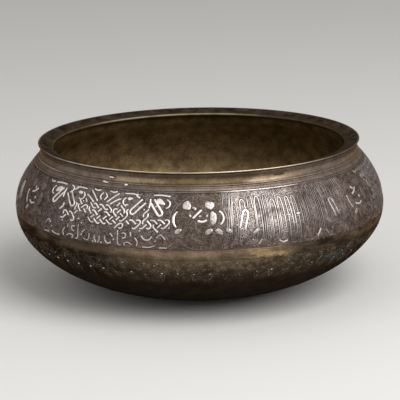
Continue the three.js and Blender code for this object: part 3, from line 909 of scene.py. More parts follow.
class BOWL_OT_body(bpy.types.Operator):
    """Raises the body, collar and rim in one closed sheet of brass"""

    bl_idname = "bowl.body"
    bl_label = "Brass body"

    def execute(self, context):
        sizes, wall = context.scene.bowl_body, Wall(context.scene)
        section, dent_arc, outward, run, bend, _ = bowl_section(sizes, wall)
        angle = np.linspace(0, 2 * np.pi, sizes.around, endpoint=False)[None]
        dent = wall.dents(angle, dent_arc[:, None])
        wider, higher = wall.askew(angle, dent_arc[:, None])
        radius = section[:, :1] + dent * outward[:, :1] + wider
        height = section[:, 1:] + dent * outward[:, 1:] + higher
        points = np.stack([radius * np.sin(angle), -radius * np.cos(angle), height + 0 * angle], -1) * MM
        points = points.reshape(-1, 3)
        rings, around = radius.shape
        ring, step = np.meshgrid(np.arange(rings - 1), np.arange(around), indexing="ij")
        following = (step + 1) % around
        quads = np.stack([ring * around + step, ring * around + following,
                          (ring + 1) * around + following, (ring + 1) * around + step], -1).reshape(-1, 4)
        caps, poles = [], []
        pairs = np.arange(0, around, 2)
        for pole, start, turn in ((len(points), 0, -1), (len(points) + 1, (rings - 1) * around, 1)):
            fan = [start + pairs, start + pairs + 1, start + (pairs + 2) % around, np.full(len(pairs), pole)]
            caps.append(np.stack(fan, -1)[:, ::turn])
            poles.append((0, 0, points[start:start + around, 2].mean()))
        fields = {"run": np.concatenate([np.repeat(run, around), run[[0, -1]]]),
                  "bend": np.concatenate([np.repeat(bend, around), [0, 0]])}
        parts = [(np.concatenate([points, poles]), np.concatenate([quads, *caps]))]
        make_piece("bowl_metal", parts, "old_brass", ["bowl_shell"], fields)
        return {"FINISHED"}


# Silver

class Inlay:
    """Silver straps and plates at one bearing, each with a dark cut edge round it."""

    def __init__(self, scene, bearing):
        self.ornament = scene.bowl_ornament
        self.wall = Wall(scene)
        self.bearing = bearing
        self.rise = self.ornament.strap_rise / MM
        self.margin = self.ornament.bed_margin / MM
        self.bed_rise = self.ornament.bed_rise / MM
        self.width = self.ornament.strap_width / MM
        self.silver = {}
        self.beds = []

    def straps(self, paths, width=None, lost=None, count=10, taper=1, finish="worn_silver"):
        """Silver along each path that isn't lost, and a bed along every path, narrow where it is lost."""
        width = self.width if width is None else width
        paths = np.stack([spaced(path, count) for path in paths])
        number = np.arange(len(paths))[:, None]
        widths = width * (1 + 0.1 * np.sin(2.4 * number)) * np.ones(count) * taper
        kept = np.ones(len(paths), bool) if lost is None else ~np.asarray(lost)
        if kept.any():
            straps = ribbons(self.wall, paths[kept], widths[kept], self.bearing, self.rise, cap=0.25)
            self.silver.setdefault(finish, []).append(straps)
        margin = np.where(kept[:, None], 2 * self.margin, -0.55 * width)
        self.beds.append(ribbons(self.wall, paths, widths + margin, self.bearing, self.bed_rise, sides=4))

    def plates(self, shapes, fineness=9, finish="pitted_silver"):
        """Silver plates, each (x, y, length, width, tilt, point), and their beds."""
        crowned = plates(self.wall, shapes, self.bearing, self.rise * 1.4, fineness=fineness)
        self.silver.setdefault(finish, []).append(crowned)
        self.beds.append(plates(self.wall, shapes, self.bearing, self.bed_rise, self.margin, fineness=5))

    def make(self, name, replaced=()):
        """One object for each silver finish, and one for the dark edges. The first replaces the CAD nodes."""
        for finish, parts in self.silver.items():
            make_piece(f"{name}_{finish}", parts, finish, replaced)
            replaced = ()
        make_piece(f"{name}_beds", self.beds, "cut_edge")


def cad_nodes(start):
    """The CAD nodes whose names start with some words."""
    return sorted(name for name in frame["nodes"] if name.startswith(start))


class BOWL_OT_border_wire(bpy.types.Operator):
    """Lays the silver wire at the top of the frieze"""

    bl_idname = "bowl.border_wire"
    bl_label = "Border wire"

    def execute(self, context):
        wall = Wall(context.scene)
        wire = hoop(wall, wall.top, 0.8, 0.14, 264)
        make_piece("border_wire", [wire], "dull_silver", ["frieze_border_wire"])
        return {"FINISHED"}


# Roundels: (x, y, length, width, tilt, point) for a plate, points for a strap
ROUNDEL_PLATES = (
    (-7.4, 9.8, 6.0, 5.4, 100, 0.25), (6.0, 9.8, 6.3, 5.2, 160, 0.0), (7.8, 1.8, 9.0, 4.4, 268, 0.35),
    (5.0, -5.7, 5.4, 3.2, 212, 0.3), (11.0, -5.8, 5.4, 3.2, 328, 0.3))
FRONT_PLATES = (
    (-2.9, 7.9, 3.2, 1.9, -38, 0.1), (-5.4, 3.5, 2.2, 1.7, -60, 0.1), (0.3, 3.2, 2.0, 1.5, 10, 0.0),
    (4.3, 3.4, 2.1, 1.7, 60, 0.2), (16.6, -5.4, 4.6, 2.8, -30, 0.25), (-12.2, -5.4, 4.8, 2.9, 212, 0.3))
FRONT_STRAPS = (
    [(-3.8, 2.1), (-1.4, 4.6), (1.1, 7.0)], arc_of(1.2, 4.4, 4.4, 240, 308), arc_of(9.2, 2.0, 4.6, 60, -55))
FRONT_CRESCENT = arc_of(-8.6, 1.2, 6.4, 132, 224)
CRESCENT_TAPER = np.sin(np.linspace(0.35, 2.8, 18)) ** 0.7
# Plates and straps of the other roundels, by turns
SIDE_PLATES = (
    ((-5.2, 3.2, 2.6, 2.0, -50, 0.1), (1.2, 5.2, 2.2, 1.6, 20, 0.0), (-11.8, -5.6, 4.6, 2.7, 208, 0.3)),
    ((-2.4, 7.4, 3.0, 1.9, -40, 0.1), (1.6, 1.4, 2.2, 1.8, 70, 0.1), (-6.6, -6.4, 4.6, 2.6, 216, 0.3)))
SIDE_STRAPS = (
    ([(-12.6, 0.4), (-8.6, 4.6), (-4.2, 6.4)], [(-11.8, 5.6), (-8.4, 2.6), (-5.6, -1.4)],
     [(-1.6, -8.4), (1.6, -10.2), (4.8, -8.6)]),
    ([(-11.2, 4.2), (-10.6, -0.6), (-8.4, -3.4)], [(-4.8, 4.0), (-1.6, 5.0), (1.0, 7.2)],
     [(-4.6, -1.6), (-1.2, -3.0), (2.0, -1.8)]))


class BOWL_OT_roundels(bpy.types.Operator):
    """Sets the silver of the six roundels: plain rounded heads, robes, arms and leaves"""

    bl_idname = "bowl.roundels"
    bl_label = "Roundels"

    def execute(self, context):
        for place, bearing in enumerate(ROUNDEL_BEARINGS):
            inlay = Inlay(context.scene, bearing)
            inlay.plates(ROUNDEL_PLATES, 13, "dull_silver" if place else "pitted_silver")
            if place == 0:
                inlay.plates(FRONT_PLATES)
                inlay.straps(FRONT_STRAPS, inlay.width * 1.5, count=14)
                inlay.straps([FRONT_CRESCENT], inlay.width * 1.5, count=18, taper=CRESCENT_TAPER)
            else:
                inlay.plates(SIDE_PLATES[place % 2])
                side_straps = [rounded(path) for path in SIDE_STRAPS[place % 2]]
                inlay.straps(side_straps, inlay.width * 1.25, count=12)
            inlay.make(f"roundel_{place + 1}", cad_nodes(f"roundel_{place + 1}_"))
            circle = arc_of(0, 0, inlay.ornament.roundel_radius / MM, 0, 360 - 360 / 96, 96)
            ring = ribbons(inlay.wall, [circle], 0.55, bearing, 0.1, sides=6, closed=True)
            make_piece(f"roundel_{place + 1}_circle", [ring], "engraved_line" if place else "dull_silver")
        return {"FINISHED"}


# Plait. Crossings stand on a chequer of columns i and rows j. A strand reaches one at one of four corners.
CORNERS = ((1, 1), (-1, 1), (1, -1), (-1, -1))
UNDER_GAP = 0.54  # how far from a crossing, in steps, a strand that passes under it ends


def moved(spot, step, share=1):
    """A spot moved by a share of a step."""
    return (spot[0] + share * step[0], spot[1] + share * step[1])


def plait_strands(inside, is_wall):
    """Visible stretches of a plait's strands, as chains of (i, j).

    A strand runs straight through a crossing, over or under by the row's parity, and ends a little before a
    crossing that it passes under. At a wall, or just outside the plait, it turns back beside its
    neighbour."""
    def partner(spot, corner):
        if spot in inside and not is_wall(spot):
            return (-corner[0], -corner[1])
        level, upright = (-corner[0], corner[1]), (corner[0], -corner[1])
        if spot in inside:
            return level if is_wall(spot) == "level" else upright
        for choice in (level, upright):
            if moved(spot, choice) in inside:
                return choice
        return None

    def passes_under(spot, corner):
        rising = corner[0] * corner[1] > 0
        return rising != (spot[1] % 2 == 0)

    def strand_from(start, leaving):
        spot, corner = start, leaving
        chain = [moved(start, leaving, UNDER_GAP)]
        for _ in range(40):
            spot = moved(spot, corner)
            arrived = (-corner[0], -corner[1])
            crossing = spot in inside and not is_wall(spot)
            if crossing and passes_under(spot, arrived):
                chain.append(moved(spot, arrived, UNDER_GAP))
                break
            onward = partner(spot, arrived)
            if onward is None:
                chain.append(moved(spot, arrived, 0.3))
                arrived = (0, 0)
                break
            if not crossing:
                turn = ((arrived[0] + onward[0]) / 2, (arrived[1] + onward[1]) / 2)
                chain.append(moved(spot, arrived, 0.5))
                chain += [moved(moved(spot, way, 0.2), turn, 0.12) for way in (arrived, onward)]
                chain.append(moved(spot, onward, 0.5))
            corner = onward
        return frozenset([(start, leaving), (spot, arrived)]), chain

    strands = {}
    for start in inside:
        for leaving in CORNERS:
            if not is_wall(start) and passes_under(start, leaving):
                ends, chain = strand_from(start, leaving)
                strands.setdefault(ends, chain)
    return list(strands.values())


def hairpin(open_end, bend, spread):
    """Two legs from the open end that join in a half circle round the bend."""
    open_end, bend = np.array(open_end, float), np.array(bend, float)
    along = (bend - open_end) / np.linalg.norm(bend - open_end)
    across = np.array([along[1], -along[0]]) * spread
    turn = np.linspace(0, np.pi, 9)[:, None]
    ends = bend + across * np.cos(turn) + along * spread * np.sin(turn)
    return np.concatenate([[open_end + across], ends, [open_end - across]])


def leaf_pair(x, y, length, width, tilt, point=0.4):
    """A plate at the right and its mirror image at the left."""
    return [(x, y, length, width, tilt, point), (-x, y, length, width, 180 - tilt, point)]


def dot_pairs(spots, length, width, tilt, scale=1):
    """Small plates at some spots and at their mirror images."""
    return [(side * x * scale, y, length, width, tilt, 0) for x, y in spots for side in (-1, 1)]


# The right halves of the hooks and dots above and below the plait, for a panel of half this width
DRAWN_HALF = 42
PLAIT_UPPER = (
    [(3.2, 9.0), (6.4, 12.4), (9.4, 15.2)], [(5.6, 8.0), (9.0, 10.8), (11.6, 12.0)],
    [(13.6, 15.6), (17.6, 15.9), (21.8, 15.5)], [(14.6, 13.0), (12.9, 11.0), (14.2, 8.2), (16.8, 8.8)],
    [(11.6, 9.4), (10.2, 7.4)], [(29.6, 13.2), (29.8, 10.2), (29.4, 7.4)],
    [(31.2, 15.6), (35.6, 16.0), (41.0, 15.2)], [(0.9, 14.6), (2.6, 12.4), (1.1, 10.2)],
    [(23.0, 13.4), (20.6, 15.0)], [(26.2, 15.8), (23.8, 15.2), (23.4, 12.6), (25.4, 11.2)],
    [(39.6, 13.2), (41.6, 11.4), (41.0, 8.6), (39.2, 7.8)], [(8.0, 16.4), (5.6, 15.4), (3.4, 16.2)],
    [(43.2, 15.6), (45.6, 14.6), (47.4, 15.9)])
PLAIT_LOWER = (
    [(12.8, -6.2), (12.8, -10.4), (12.9, -14.4), (14.6, -14.6)],
    [(15.4, -7.6), (17.6, -7.4), (17.6, -10.2), (15.6, -10.4)], [(16.4, -13.4), (18.6, -12.2), (21.2, -13.8)],
    [(5.0, -10.2), (5.2, -13.4), (6.9, -14.6), (8.8, -13.6)], [(1.6, -10.6), (1.7, -13.0), (0.5, -14.8)],
    [(22.8, -9.6), (24.6, -11.8), (23.8, -14.4)], [(26.2, -8.0), (28.0, -10.4), (30.8, -10.6), (32.4, -8.2)],
    [(27.2, -14.6), (30.6, -14.8), (33.8, -13.6)], [(35.0, -8.8), (37.2, -6.4), (39.6, -9.8)],
    [(36.4, -14.6), (40.6, -14.6)], [(8.2, -8.4), (9.9, -10.2)], [(20.2, -6.8), (20.6, -8.8)])
PLAIT_DOTS = (
    (10.4, -12.4), (13.4, -3.4), (25.4, -6.2), (34.2, -11.6), (17.0, -15.0), (24.0, 7.6), (33.4, 8.6),
    (2.6, -15.2), (8.6, 14.2))
PLAIT_BREAKS = (4, 8, 13, 16)  # columns where the strands turn back at an upright wall


def plait_cartouche(inlay, half, rng):
    """A mirrored band of plaited straps, with hairpins, leaves and hooks above and below it."""
    pitch = inlay.ornament.plait_pitch / MM
    columns = int((half - 1.5) / pitch)
    scale = half / DRAWN_HALF

    def height(i, j):
        return -4.9 + pitch * j + 0.055 * abs(i * pitch)

    def top(i):
        x = abs(i) * pitch
        notch = 5.0 if 17.5 < x < 27.5 else 4.0 if x > 31 else 0
        return 6.6 - notch - (2.0 if int(x / 6.3) % 2 else 0)

    def foot(i):
        return -5.2 if 10 < abs(i) * pitch < 36 else -3.4

    def is_wall(spot):
        i, j = abs(spot[0]), spot[1]
        if i in PLAIT_BREAKS and j % 4 in (0, 1):
            return "upright"
        if (3 * i + 5 * j) % 11 == 4 and i > 1:
            return "level"
        return None

    def fitted(paths, lift=0.0):
        return [rounded(np.asarray(path) * (scale, 1) + (0, lift)) for path in mirrored(paths)]

    inside = {(i, j) for i in range(-columns, columns + 1) for j in range(-1, 8)
              if (i + j) % 2 == 0 and foot(i) <= height(i, j) <= top(i)}
    placed = []
    for chain in plait_strands(inside, is_wall):
        chain = np.array(chain, float)
        chain = chain if len(chain) == 2 else rounded(chain, 2)
        placed.append(np.stack([chain[:, 0] * pitch, height(chain[:, 0], chain[:, 1])], -1))
    length = np.array([np.hypot(*np.diff(path, axis=0).T).sum() for path in placed])
    x, y = np.array([path.mean(0) for path in placed]).T
    worn_away = (np.hypot((x + 17) / 13, (y + 4.5) / 3.8) < 1) | (x < -30)
    lost = rng.random(len(placed)) < np.where(worn_away, 0.6, 0.06)
    for chosen, count in ((length < 6, 7), (length >= 6, 20)):
        group = [path for path, take in zip(placed, chosen) if take]
        if group:
            inlay.straps(group, lost=lost[chosen], count=count)

    upper, lower = fitted(PLAIT_UPPER), fitted(PLAIT_LOWER, -0.7)
    inlay.straps(upper, lost=rng.random(len(upper)) < 0.06, count=14)
    lost = rng.random(len(lower)) < 0.12
    inlay.straps(lower, inlay.width * 0.9, lost, count=14, finish="faded_silver")
    pins = [hairpin((27, 11.6), (21.2, 4.8), 1.6), hairpin((32.2, 12.2), (37.6, 4.6), 1.5)]
    inlay.straps(mirrored(pins), inlay.width * 1.25, count=26)
    leaves = leaf_pair(37.4, 11.6, 6.6, 3.6, -30) + leaf_pair(18.0, 12.6, 3.8, 2.2, 8)
    inlay.plates(leaves, finish="worn_silver")
    inlay.plates(dot_pairs(PLAIT_DOTS, 1.5, 1.4, 30, scale), 5)
    return []


ARCADE_BAY = 4.8
ARCADE_LOWER = (
    [(21.4, -11.6), (23.4, -14.2)], [(17.4, -10.2), (14.8, -14.2)],
    [(10.8, -13.2), (8.4, -14.6), (6.0, -13.8)])
ARCADE_LOWER_LOST = [False, False, True, False, True, False]
ARCADE_DOTS = ((26.6, -11.4), (35.6, -2.6), (33.8, -9.4))
# Reeds at the right end of an arcade, drawn from the panel's end, each with its width
END_REEDS = (
    ([(-1.6, -7.4), (-1.7, 3.0), (-3.2, 14.5)], 0.9), ([(-0.2, 4.6), (-0.7, 9.5), (-1.6, 16.0)], 0.8),
    ([(1.2, 7.8), (0.8, 11.0), (0.2, 16.2)], 0.6), ([(3.2, 9.8), (2.7, 12.6), (2.0, 16.4)], 0.9),
    ([(5.4, 12.0), (4.9, 14.0), (4.2, 16.4)], 0.6), ([(0.8, -12.8), (0.0, -10.0), (-0.6, -7.0)], 0.7))


def arcade_cartouche(inlay, half, rng):
    """Mirrored reeds and pointed arches in fine line, with a few silver pieces left among them."""
    inlay.straps(mirrored([hairpin((32.4, -4.8), (29.8, 4.2), 1.6)]), inlay.width * 1.35, count=26)
    inlay.straps(mirrored(ARCADE_LOWER), inlay.width * 1.15, ARCADE_LOWER_LOST, count=8)
    leaves = leaf_pair(24.4, -6.6, 5.4, 2.4, 150) + leaf_pair(3.4 * half / DRAWN_HALF, 0.6, 3.2, 1.4, 8, 0.1)
    inlay.plates(leaves)
    inlay.plates(dot_pairs(ARCADE_DOTS, 1.7, 1.5, 20), 5)

    reeds, widths = [], []
    for number in range(int((half - 0.5) / ARCADE_BAY)):
        x = ARCADE_BAY * (number + 0.5) + rng.uniform(-0.3, 0.3)
        pinned = 25 < x < 35
        low = 6.8 if pinned else -6.4 - 5.4 * rng.random() - (3.0 if number % 3 == 0 else 0)
        peak = rng.uniform(11.5, 16.4)
        wide = rng.uniform(1.2, 1.6)
        lean = rng.uniform(-0.35, 0.35, 5)
        waist = 0.5 * (low + peak)
        arch = [(x - wide, low), (x - wide + lean[0], waist), (x - wide, peak - 2.2), (x + lean[3], peak),
                (x + wide, peak - 2.2), (x + wide + lean[1], waist), (x + wide, low + lean[2])]
        beside = x + ARCADE_BAY / 2
        side = [(beside, low - 1.0), (beside + lean[4], 4.0), (beside - 0.2, 16.6)]
        for path, width in ((rounded(arch, 2), rng.uniform(0.6, 1.05)), (side, rng.uniform(0.35, 0.7))):
            if not (pinned and path is side):
                reeds += mirrored([path])
                widths += [width, width]
    for path, width in END_REEDS:
        reeds += mirrored([rounded(np.array(path) + (half, 0), 2)])
        widths += [width, width]
    reeds, widths = np.stack([spaced(path, 34) for path in reeds]), np.array(widths)
    inlay.beds.append(ribbons(inlay.wall, reeds, widths + 0.5, inlay.bearing, 0.06, sides=4))
    return [ribbons(inlay.wall, reeds, widths, inlay.bearing, 0.13, sides=6)]


def panels(wall):
    """For each roundel and the long panel after it: its number, the roundel's bearing, the bearing of the
    panel's middle, and half the distance to the next roundel."""
    for place, bearing in enumerate(ROUNDEL_BEARINGS):
        following = (*ROUNDEL_BEARINGS[1:], ROUNDEL_BEARINGS[0] + 360)[place]
        reach = math.radians(following - bearing) * wall.drawn_radius / 2
        yield place, bearing, (bearing + following) / 2, reach


class BOWL_OT_cartouches(bpy.types.Operator):
    """Sets the silver straps of the six long panels, plaited or arcaded by turns, and engraves their ends"""

    bl_idname = "bowl.cartouches"
    bl_label = "Cartouches"

    def execute(self, context):
        ornament = context.scene.bowl_ornament
        radius = ornament.roundel_radius / MM
        for place, _, middle, reach in panels(Wall(context.scene)):
            inlay = Inlay(context.scene, middle)
            rng = np.random.default_rng(ornament.seed + place)
            fill = plait_cartouche if place % 2 else arcade_cartouche
            lines = fill(inlay, reach - radius - 0.9, rng)
            inlay.make(f"cartouche_{place + 1}", cad_nodes(f"cartouche_{place + 1}_"))
            ends = mirrored([arc_of(reach, 0, radius + 1.3, 138, 222, 24)])
            lines.append(ribbons(inlay.wall, ends, 0.5, inlay.bearing, 0.1, sides=6))
            make_piece(f"cartouche_{place + 1}_lines", lines, "engraved_line")
        return {"FINISHED"}


# Engraving

def scroll_field(rng, half_width, low, high, pitch, keep=lambda x, y: True):
    """Spirals on a staggered lattice, turning left and right by turns, each with a stem to its neighbour.

    A spiral's radius grows evenly from 0.3 mm to half the pitch over 1.65 turns."""
    spirals, stems = [], []
    turns = np.linspace(0, 1, 20)
    rows = max(int((high - low) / (pitch * 0.86)), 1)
    for row in range(rows):
        y = low + (row + 0.5) * (high - low) / rows
        for column in range(int(2 * half_width / pitch)):
            x = -half_width + pitch * (column + 0.5 + 0.5 * (row % 2))
            if abs(x) > half_width - pitch / 2 or not keep(x, y):
                continue
            centre = np.array([x, y]) + rng.uniform(-0.3, 0.3, 2)
            way = 1 if (row + column) % 2 else -1
            angle = rng.uniform(0, 2 * np.pi) + way * turns * 2 * np.pi * 1.65
            radius = (0.3 + (pitch * 0.5 - 0.3) * turns)[:, None]
            spirals.append(centre + radius * np.stack([np.cos(angle), np.sin(angle)], -1))
            tip = spirals[-1][-1]
            lean = rng.uniform(-0.6, 0.6, 2)
            stem = [tip, tip + (0.8 * way, 0.9) + lean, tip + (1.9 * way, 0.2) + lean]
            stems.append(spaced(rounded(stem), 7))
    return np.array(spirals), np.array(stems)


def carved(wall, spirals, stems, bearing, width, rise):
    """Scroll lines and their stems as thin raised ribbons."""
    return [ribbons(wall, spirals, width, bearing, rise, sides=4),
            ribbons(wall, stems, width * 1.15, bearing, rise, sides=4)]


class BOWL_OT_scrolls(bpy.types.Operator):
    """Engraves the scrolling ground of the frieze behind the silver"""

    bl_idname = "bowl.scrolls"
    bl_label = "Frieze scrolls"

    def execute(self, context):
        ornament, wall = context.scene.bowl_ornament, Wall(context.scene)
        pitch, width, rise = ornament.scroll_pitch / MM, ornament.line_width / MM, ornament.line_rise / MM
        low, high = wall.frieze_foot + 0.6 - wall.middle, wall.top - wall.middle - 0.9
        inner = ornament.roundel_radius / MM - 0.6
        for place, bearing, middle, half in panels(wall):
            rng = np.random.default_rng(ornament.seed + 20 + place)

            def in_panel(x, y, half=half):
                return math.hypot(abs(x) - half, y) > inner + 3

            def in_roundel(x, y):
                return math.hypot(x, y) < inner - 2

            field = scroll_field(rng, half - 8, low, high, pitch, in_panel)
            round_field = scroll_field(rng, inner, -inner, inner, pitch * 1.15, in_roundel)
            parts = carved(wall, *field, middle, width, rise)
            parts += carved(wall, *round_field, bearing, width * 0.9, rise * 0.8)
            make_piece(f"frieze_scrolls_{place + 1}", parts, "engraved_line")
        return {"FINISHED"}


BAND_SECTIONS = 5
BAND_UNITS = 15  # in each section
BAND_START = 31.8  # bearing of the first section's middle


def band_paths(rng, middles, step, low, row, high):
    """Lines of the lower band for units at some middles: rings, curls, cups, spans and tips."""
    ring_height = high - 4.6
    between = middles + step / 2
    rings = [arc_of(x, ring_height + rng.uniform(-0.3, 0.3), 2.6, 0, 350, 24) for x in between]
    turns = rng.uniform(0, 360, len(middles))
    curls = [arc_of(x, ring_height, 1.3, turn, turn + 260, 24) for x, turn in zip(between, turns)]
    cups = [arc_of(x, row + 0.2, 2.1, -160, -20, 24) for x in middles]
    spans, tips = [], []
    for x in middles:
        span = [(x, row + 2.4), (x - 1.2, row + 4.6), (x, high - 1.2), (x + 1.2, row + 4.6), (x, row + 2.4)]
        spans.append(spaced(span, 24))
        reach = rng.uniform(4.4, 6.2)
        tip = [(x - 1.3, low + 0.2), (x - 0.9, low - 0.5 * reach), (x, low - reach),
               (x + 0.9, low - 0.5 * reach), (x + 1.3, low + 0.2)]
        tips.append(spaced(rounded(tip), 24))
    return np.stack([*rings, *curls, *cups, *spans, *tips])


class BOWL_OT_lower_band(bpy.types.Operator):
    """Engraves the fine band below the widest line: rings, curls, a row of silver dots and hanging tips"""

    bl_idname = "bowl.lower_band"
    bl_label = "Lower band"

    def execute(self, context):
        ornament, wall = context.scene.bowl_ornament, Wall(context.scene)
        low, high = wall.band_bottom - wall.middle, wall.band_top - wall.middle
        row = ornament.dots_below / MM - wall.middle
        step = 2 * math.pi * wall.drawn_radius / BAND_SECTIONS / BAND_UNITS
        half = step * BAND_UNITS / 2
        middles = step * (np.arange(BAND_UNITS) - (BAND_UNITS - 1) / 2)
        for place in range(BAND_SECTIONS):
            rng = np.random.default_rng(ornament.seed + 40 + place)
            bearing = BAND_START + 360 / BAND_SECTIONS * place
            paths = band_paths(rng, middles, step, low, row, high)
            paths = paths[rng.random(len(paths)) < 0.85]
            widths = rng.uniform(0.26, 0.42, len(paths))
            _, stems = scroll_field(rng, half, row + 1.5, high - 0.8, 3.4)
            parts = [ribbons(wall, paths, widths, bearing, 0.05, sides=4),
                     ribbons(wall, stems, 0.26, bearing, 0.04, sides=4)]
            make_piece(f"lower_band_lines_{place + 1}", parts, "engraved_line")
            inlay = Inlay(context.scene, bearing)
            dots = []
            for x in middles[rng.random(BAND_UNITS) < 0.5]:
                moved_up, length, width = rng.uniform(-0.2, 0.3), rng.uniform(1.1, 1.9), rng.uniform(0.8, 1.1)
                dots.append((x, row + moved_up, length, width, rng.uniform(-12, 12), 0.1))
            inlay.plates(dots, 7, "faded_silver")
            specks = rng.uniform((-half, row + 3), (half, high - 2), (12, 2))
            inlay.plates([(x, y, 0.8, 0.6, 0, 0) for x, y in specks], 5, "faded_silver")
            inlay.make(f"lower_band_dots_{place + 1}")
        return {"FINISHED"}


# Flecks of silver at the top of the shoulder: bearing, mm below the collar's foot, length, width and tilt
FLECKS = (
    (-30.2, -3.4, 4.6, 1.1, -5), (-32.6, -0.3, 5.4, 1.3, -6), (-24.7, 0.1, 2.6, 1.3, 0),
    (96, 0.8, 2.6, 0.9, 4), (171, 0.6, 1.8, 0.9, -3))


class BOWL_OT_collar_flecks(bpy.types.Operator):
    """Leaves a few flecks of silver at the top of the shoulder"""

    bl_idname = "bowl.collar_flecks"
    bl_label = "Collar flecks"

    def execute(self, context):
        sizes, inlay = context.scene.bowl_body, Inlay(context.scene, 0)
        wall, waist, collar_height = inlay.wall, (sizes.collar_radius - sizes.collar_waist) / MM, 6
        foot = wall.arc[-1] - wall.middle
        wall.arc = np.append(wall.arc, wall.arc[-1] + collar_height)
        wall.height = np.append(wall.height, wall.foot + collar_height)
        wall.radius = np.append(wall.radius, waist)
        wall.out, wall.up = np.append(wall.out, 1), np.append(wall.up, 0)
        shapes = [(math.radians(bearing) * wall.drawn_radius, foot - down, length, width, tilt, 0.1)
                  for bearing, down, length, width, tilt in FLECKS]
        inlay.plates(shapes, 7, "worn_silver")
        inlay.make("shoulder_flecks")
        return {"FINISHED"}


# Stage

# Azimuth from the camera's side and elevation in degrees, distance and size in metres
KEY_LAMP = (42, 42, 1.5, 1.3)
FILL_LAMP = (-50, 35, 1.6, 1.2)
WORLD_LIGHT, WORLD_SHOWN = 0.5, 0.8  # strength of the light, and of what the camera and reflections see
CAMERA_SHIFT = (0.00165, -0.001)


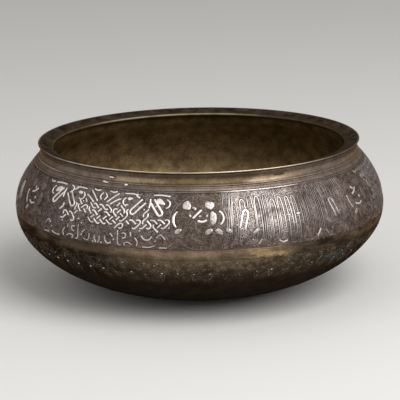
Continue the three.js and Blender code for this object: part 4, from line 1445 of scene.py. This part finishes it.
class BOWL_OT_stage(bpy.types.Operator):
    """Sets the pale floor, the soft lamps, the world and the camera"""

    bl_idname = "bowl.stage"
    bl_label = "Floor, lamps and camera"

    def execute(self, context):
        scene = context.scene
        settings = scene.bowl_stage
        pale = tuple(scene.bowl_colours.floor)
        half = settings.floor_size / 2
        mesh = bpy.data.meshes.new("floor")
        corners = [(-half, -half, 0), (half, -half, 0), (half, half, 0), (-half, half, 0)]
        mesh.from_pydata(corners, [], [(0, 1, 2, 3)])
        floor = bpy.data.objects.new("floor", mesh)
        scene.collection.objects.link(floor)
        mesh.materials.append(self.floor_material(pale))

        target = np.array([0, 0, settings.target_height])
        self.lamp(scene, "key_lamp", *KEY_LAMP, settings.key_power, target)
        self.lamp(scene, "fill_lamp", *FILL_LAMP, settings.fill_power, target)
        self.world(scene, pale)
        self.camera(scene, settings, target)
        scene.view_settings.view_transform = "Standard"
        return {"FINISHED"}

    @staticmethod
    def camera(scene, settings, target):
        """A camera in front of the bowl that looks down at the target, rolled about its own axis."""
        data = bpy.data.cameras.new("camera")
        data.lens = settings.lens
        data.sensor_width = 36
        data.shift_x, data.shift_y = CAMERA_SHIFT
        data.clip_end = 50
        camera = bpy.data.objects.new("camera", data)
        scene.collection.objects.link(camera)
        back = np.array([0, -math.cos(settings.elevation), math.sin(settings.elevation)])
        camera.location = target + back * settings.distance
        camera.rotation_mode = "XYZ"
        camera.rotation_euler = (math.pi / 2 - settings.elevation, 0, 0)
        camera.rotation_mode = "QUATERNION"
        camera.rotation_quaternion = camera.rotation_quaternion @ Quaternion((0, 0, 1), settings.roll)
        scene.camera = camera

    @staticmethod
    def floor_material(pale):
        """A matt pale paint."""
        material = bpy.data.materials.new("pale_floor")
        material.use_nodes = True
        shader = material.node_tree.nodes["Principled BSDF"]
        shader.inputs["Base Color"].default_value = (*pale, 1)
        shader.inputs["Roughness"].default_value = 0.85
        return material

    @staticmethod
    def lamp(scene, name, azimuth, elevation, distance, size, power, target):
        """A square soft lamp at an azimuth, 0 at the camera and growing to the right, that faces the bowl."""
        data = bpy.data.lights.new(name, "AREA")
        data.energy = power
        data.size = size
        lamp = bpy.data.objects.new(name, data)
        turn, lift = math.radians(azimuth), math.radians(elevation)
        away = np.array([math.sin(turn) * math.cos(lift), -math.cos(turn) * math.cos(lift), math.sin(lift)])
        lamp.location = target + away * distance
        lamp.rotation_euler = (math.pi / 2 - lift, 0, turn)
        scene.collection.objects.link(lamp)

    @staticmethod
    def world(scene, pale):
        """Even light from all round, and a pale background for the camera and for reflections."""
        world = bpy.data.worlds.new("studio")
        world.use_nodes = True
        scene.world = world
        tree = world.node_tree
        tree.nodes.clear()
        rays = add_node(tree, "LightPath", {}, {})
        outputs = {socket.name: Value(tree, socket) for socket in rays.socket.node.outputs}
        seen = outputs["Is Camera Ray"] + outputs["Is Glossy Ray"] + outputs["Is Transmission Ray"]
        light = add_node(tree, "Background", {}, {"Color": pale, "Strength": WORLD_LIGHT})
        shown = add_node(tree, "Background", {}, {"Color": pale, "Strength": WORLD_SHOWN})
        mixed = add_node(tree, "MixShader", {}, {0: seen.math("MINIMUM", 1.0), 1: light, 2: shown})
        sink = tree.nodes.new("ShaderNodeOutputWorld")
        tree.links.new(mixed.socket, sink.inputs["Surface"])


OPERATORS = (BOWL_OT_stage, BOWL_OT_body, BOWL_OT_border_wire, BOWL_OT_roundels, BOWL_OT_cartouches,
             BOWL_OT_scrolls, BOWL_OT_lower_band, BOWL_OT_collar_flecks)
PROPERTY_GROUPS = {"bowl_body": BodySizes, "bowl_ornament": OrnamentSizes, "bowl_colours": FinishColours,
                   "bowl_stage": StageSettings}


class BOWL_PT_parts(bpy.types.Panel):
    """Buttons and sizes of the bowl"""

    bl_idname = "BOWL_PT_parts"
    bl_label = "Inlaid bowl"
    bl_space_type = "VIEW_3D"
    bl_region_type = "UI"
    bl_category = "Bowl"

    def draw(self, context):
        for operator in OPERATORS:
            self.layout.operator(operator.bl_idname)
        for name in PROPERTY_GROUPS:
            group = getattr(context.scene, name)
            box = self.layout.box()
            for field in group.bl_rna.properties:
                if field.identifier not in ("rna_type", "name"):
                    box.prop(group, field.identifier)


def register():
    for kind in (*PROPERTY_GROUPS.values(), *OPERATORS, BOWL_PT_parts):
        bpy.utils.register_class(kind)
    for name, group in PROPERTY_GROUPS.items():
        setattr(bpy.types.Scene, name, PointerProperty(type=group))


def unregister():
    for name in PROPERTY_GROUPS:
        delattr(bpy.types.Scene, name)
    for kind in reversed((*PROPERTY_GROUPS.values(), *OPERATORS, BOWL_PT_parts)):
        bpy.utils.unregister_class(kind)


def main():
    register()
    bpy.ops.bowl.stage()
    bpy.ops.bowl.body()
    bpy.ops.bowl.border_wire()
    bpy.ops.bowl.roundels()
    bpy.ops.bowl.cartouches()
    bpy.ops.bowl.scrolls()
    bpy.ops.bowl.lower_band()
    bpy.ops.bowl.collar_flecks()


if __name__ == "__main__":
    main()
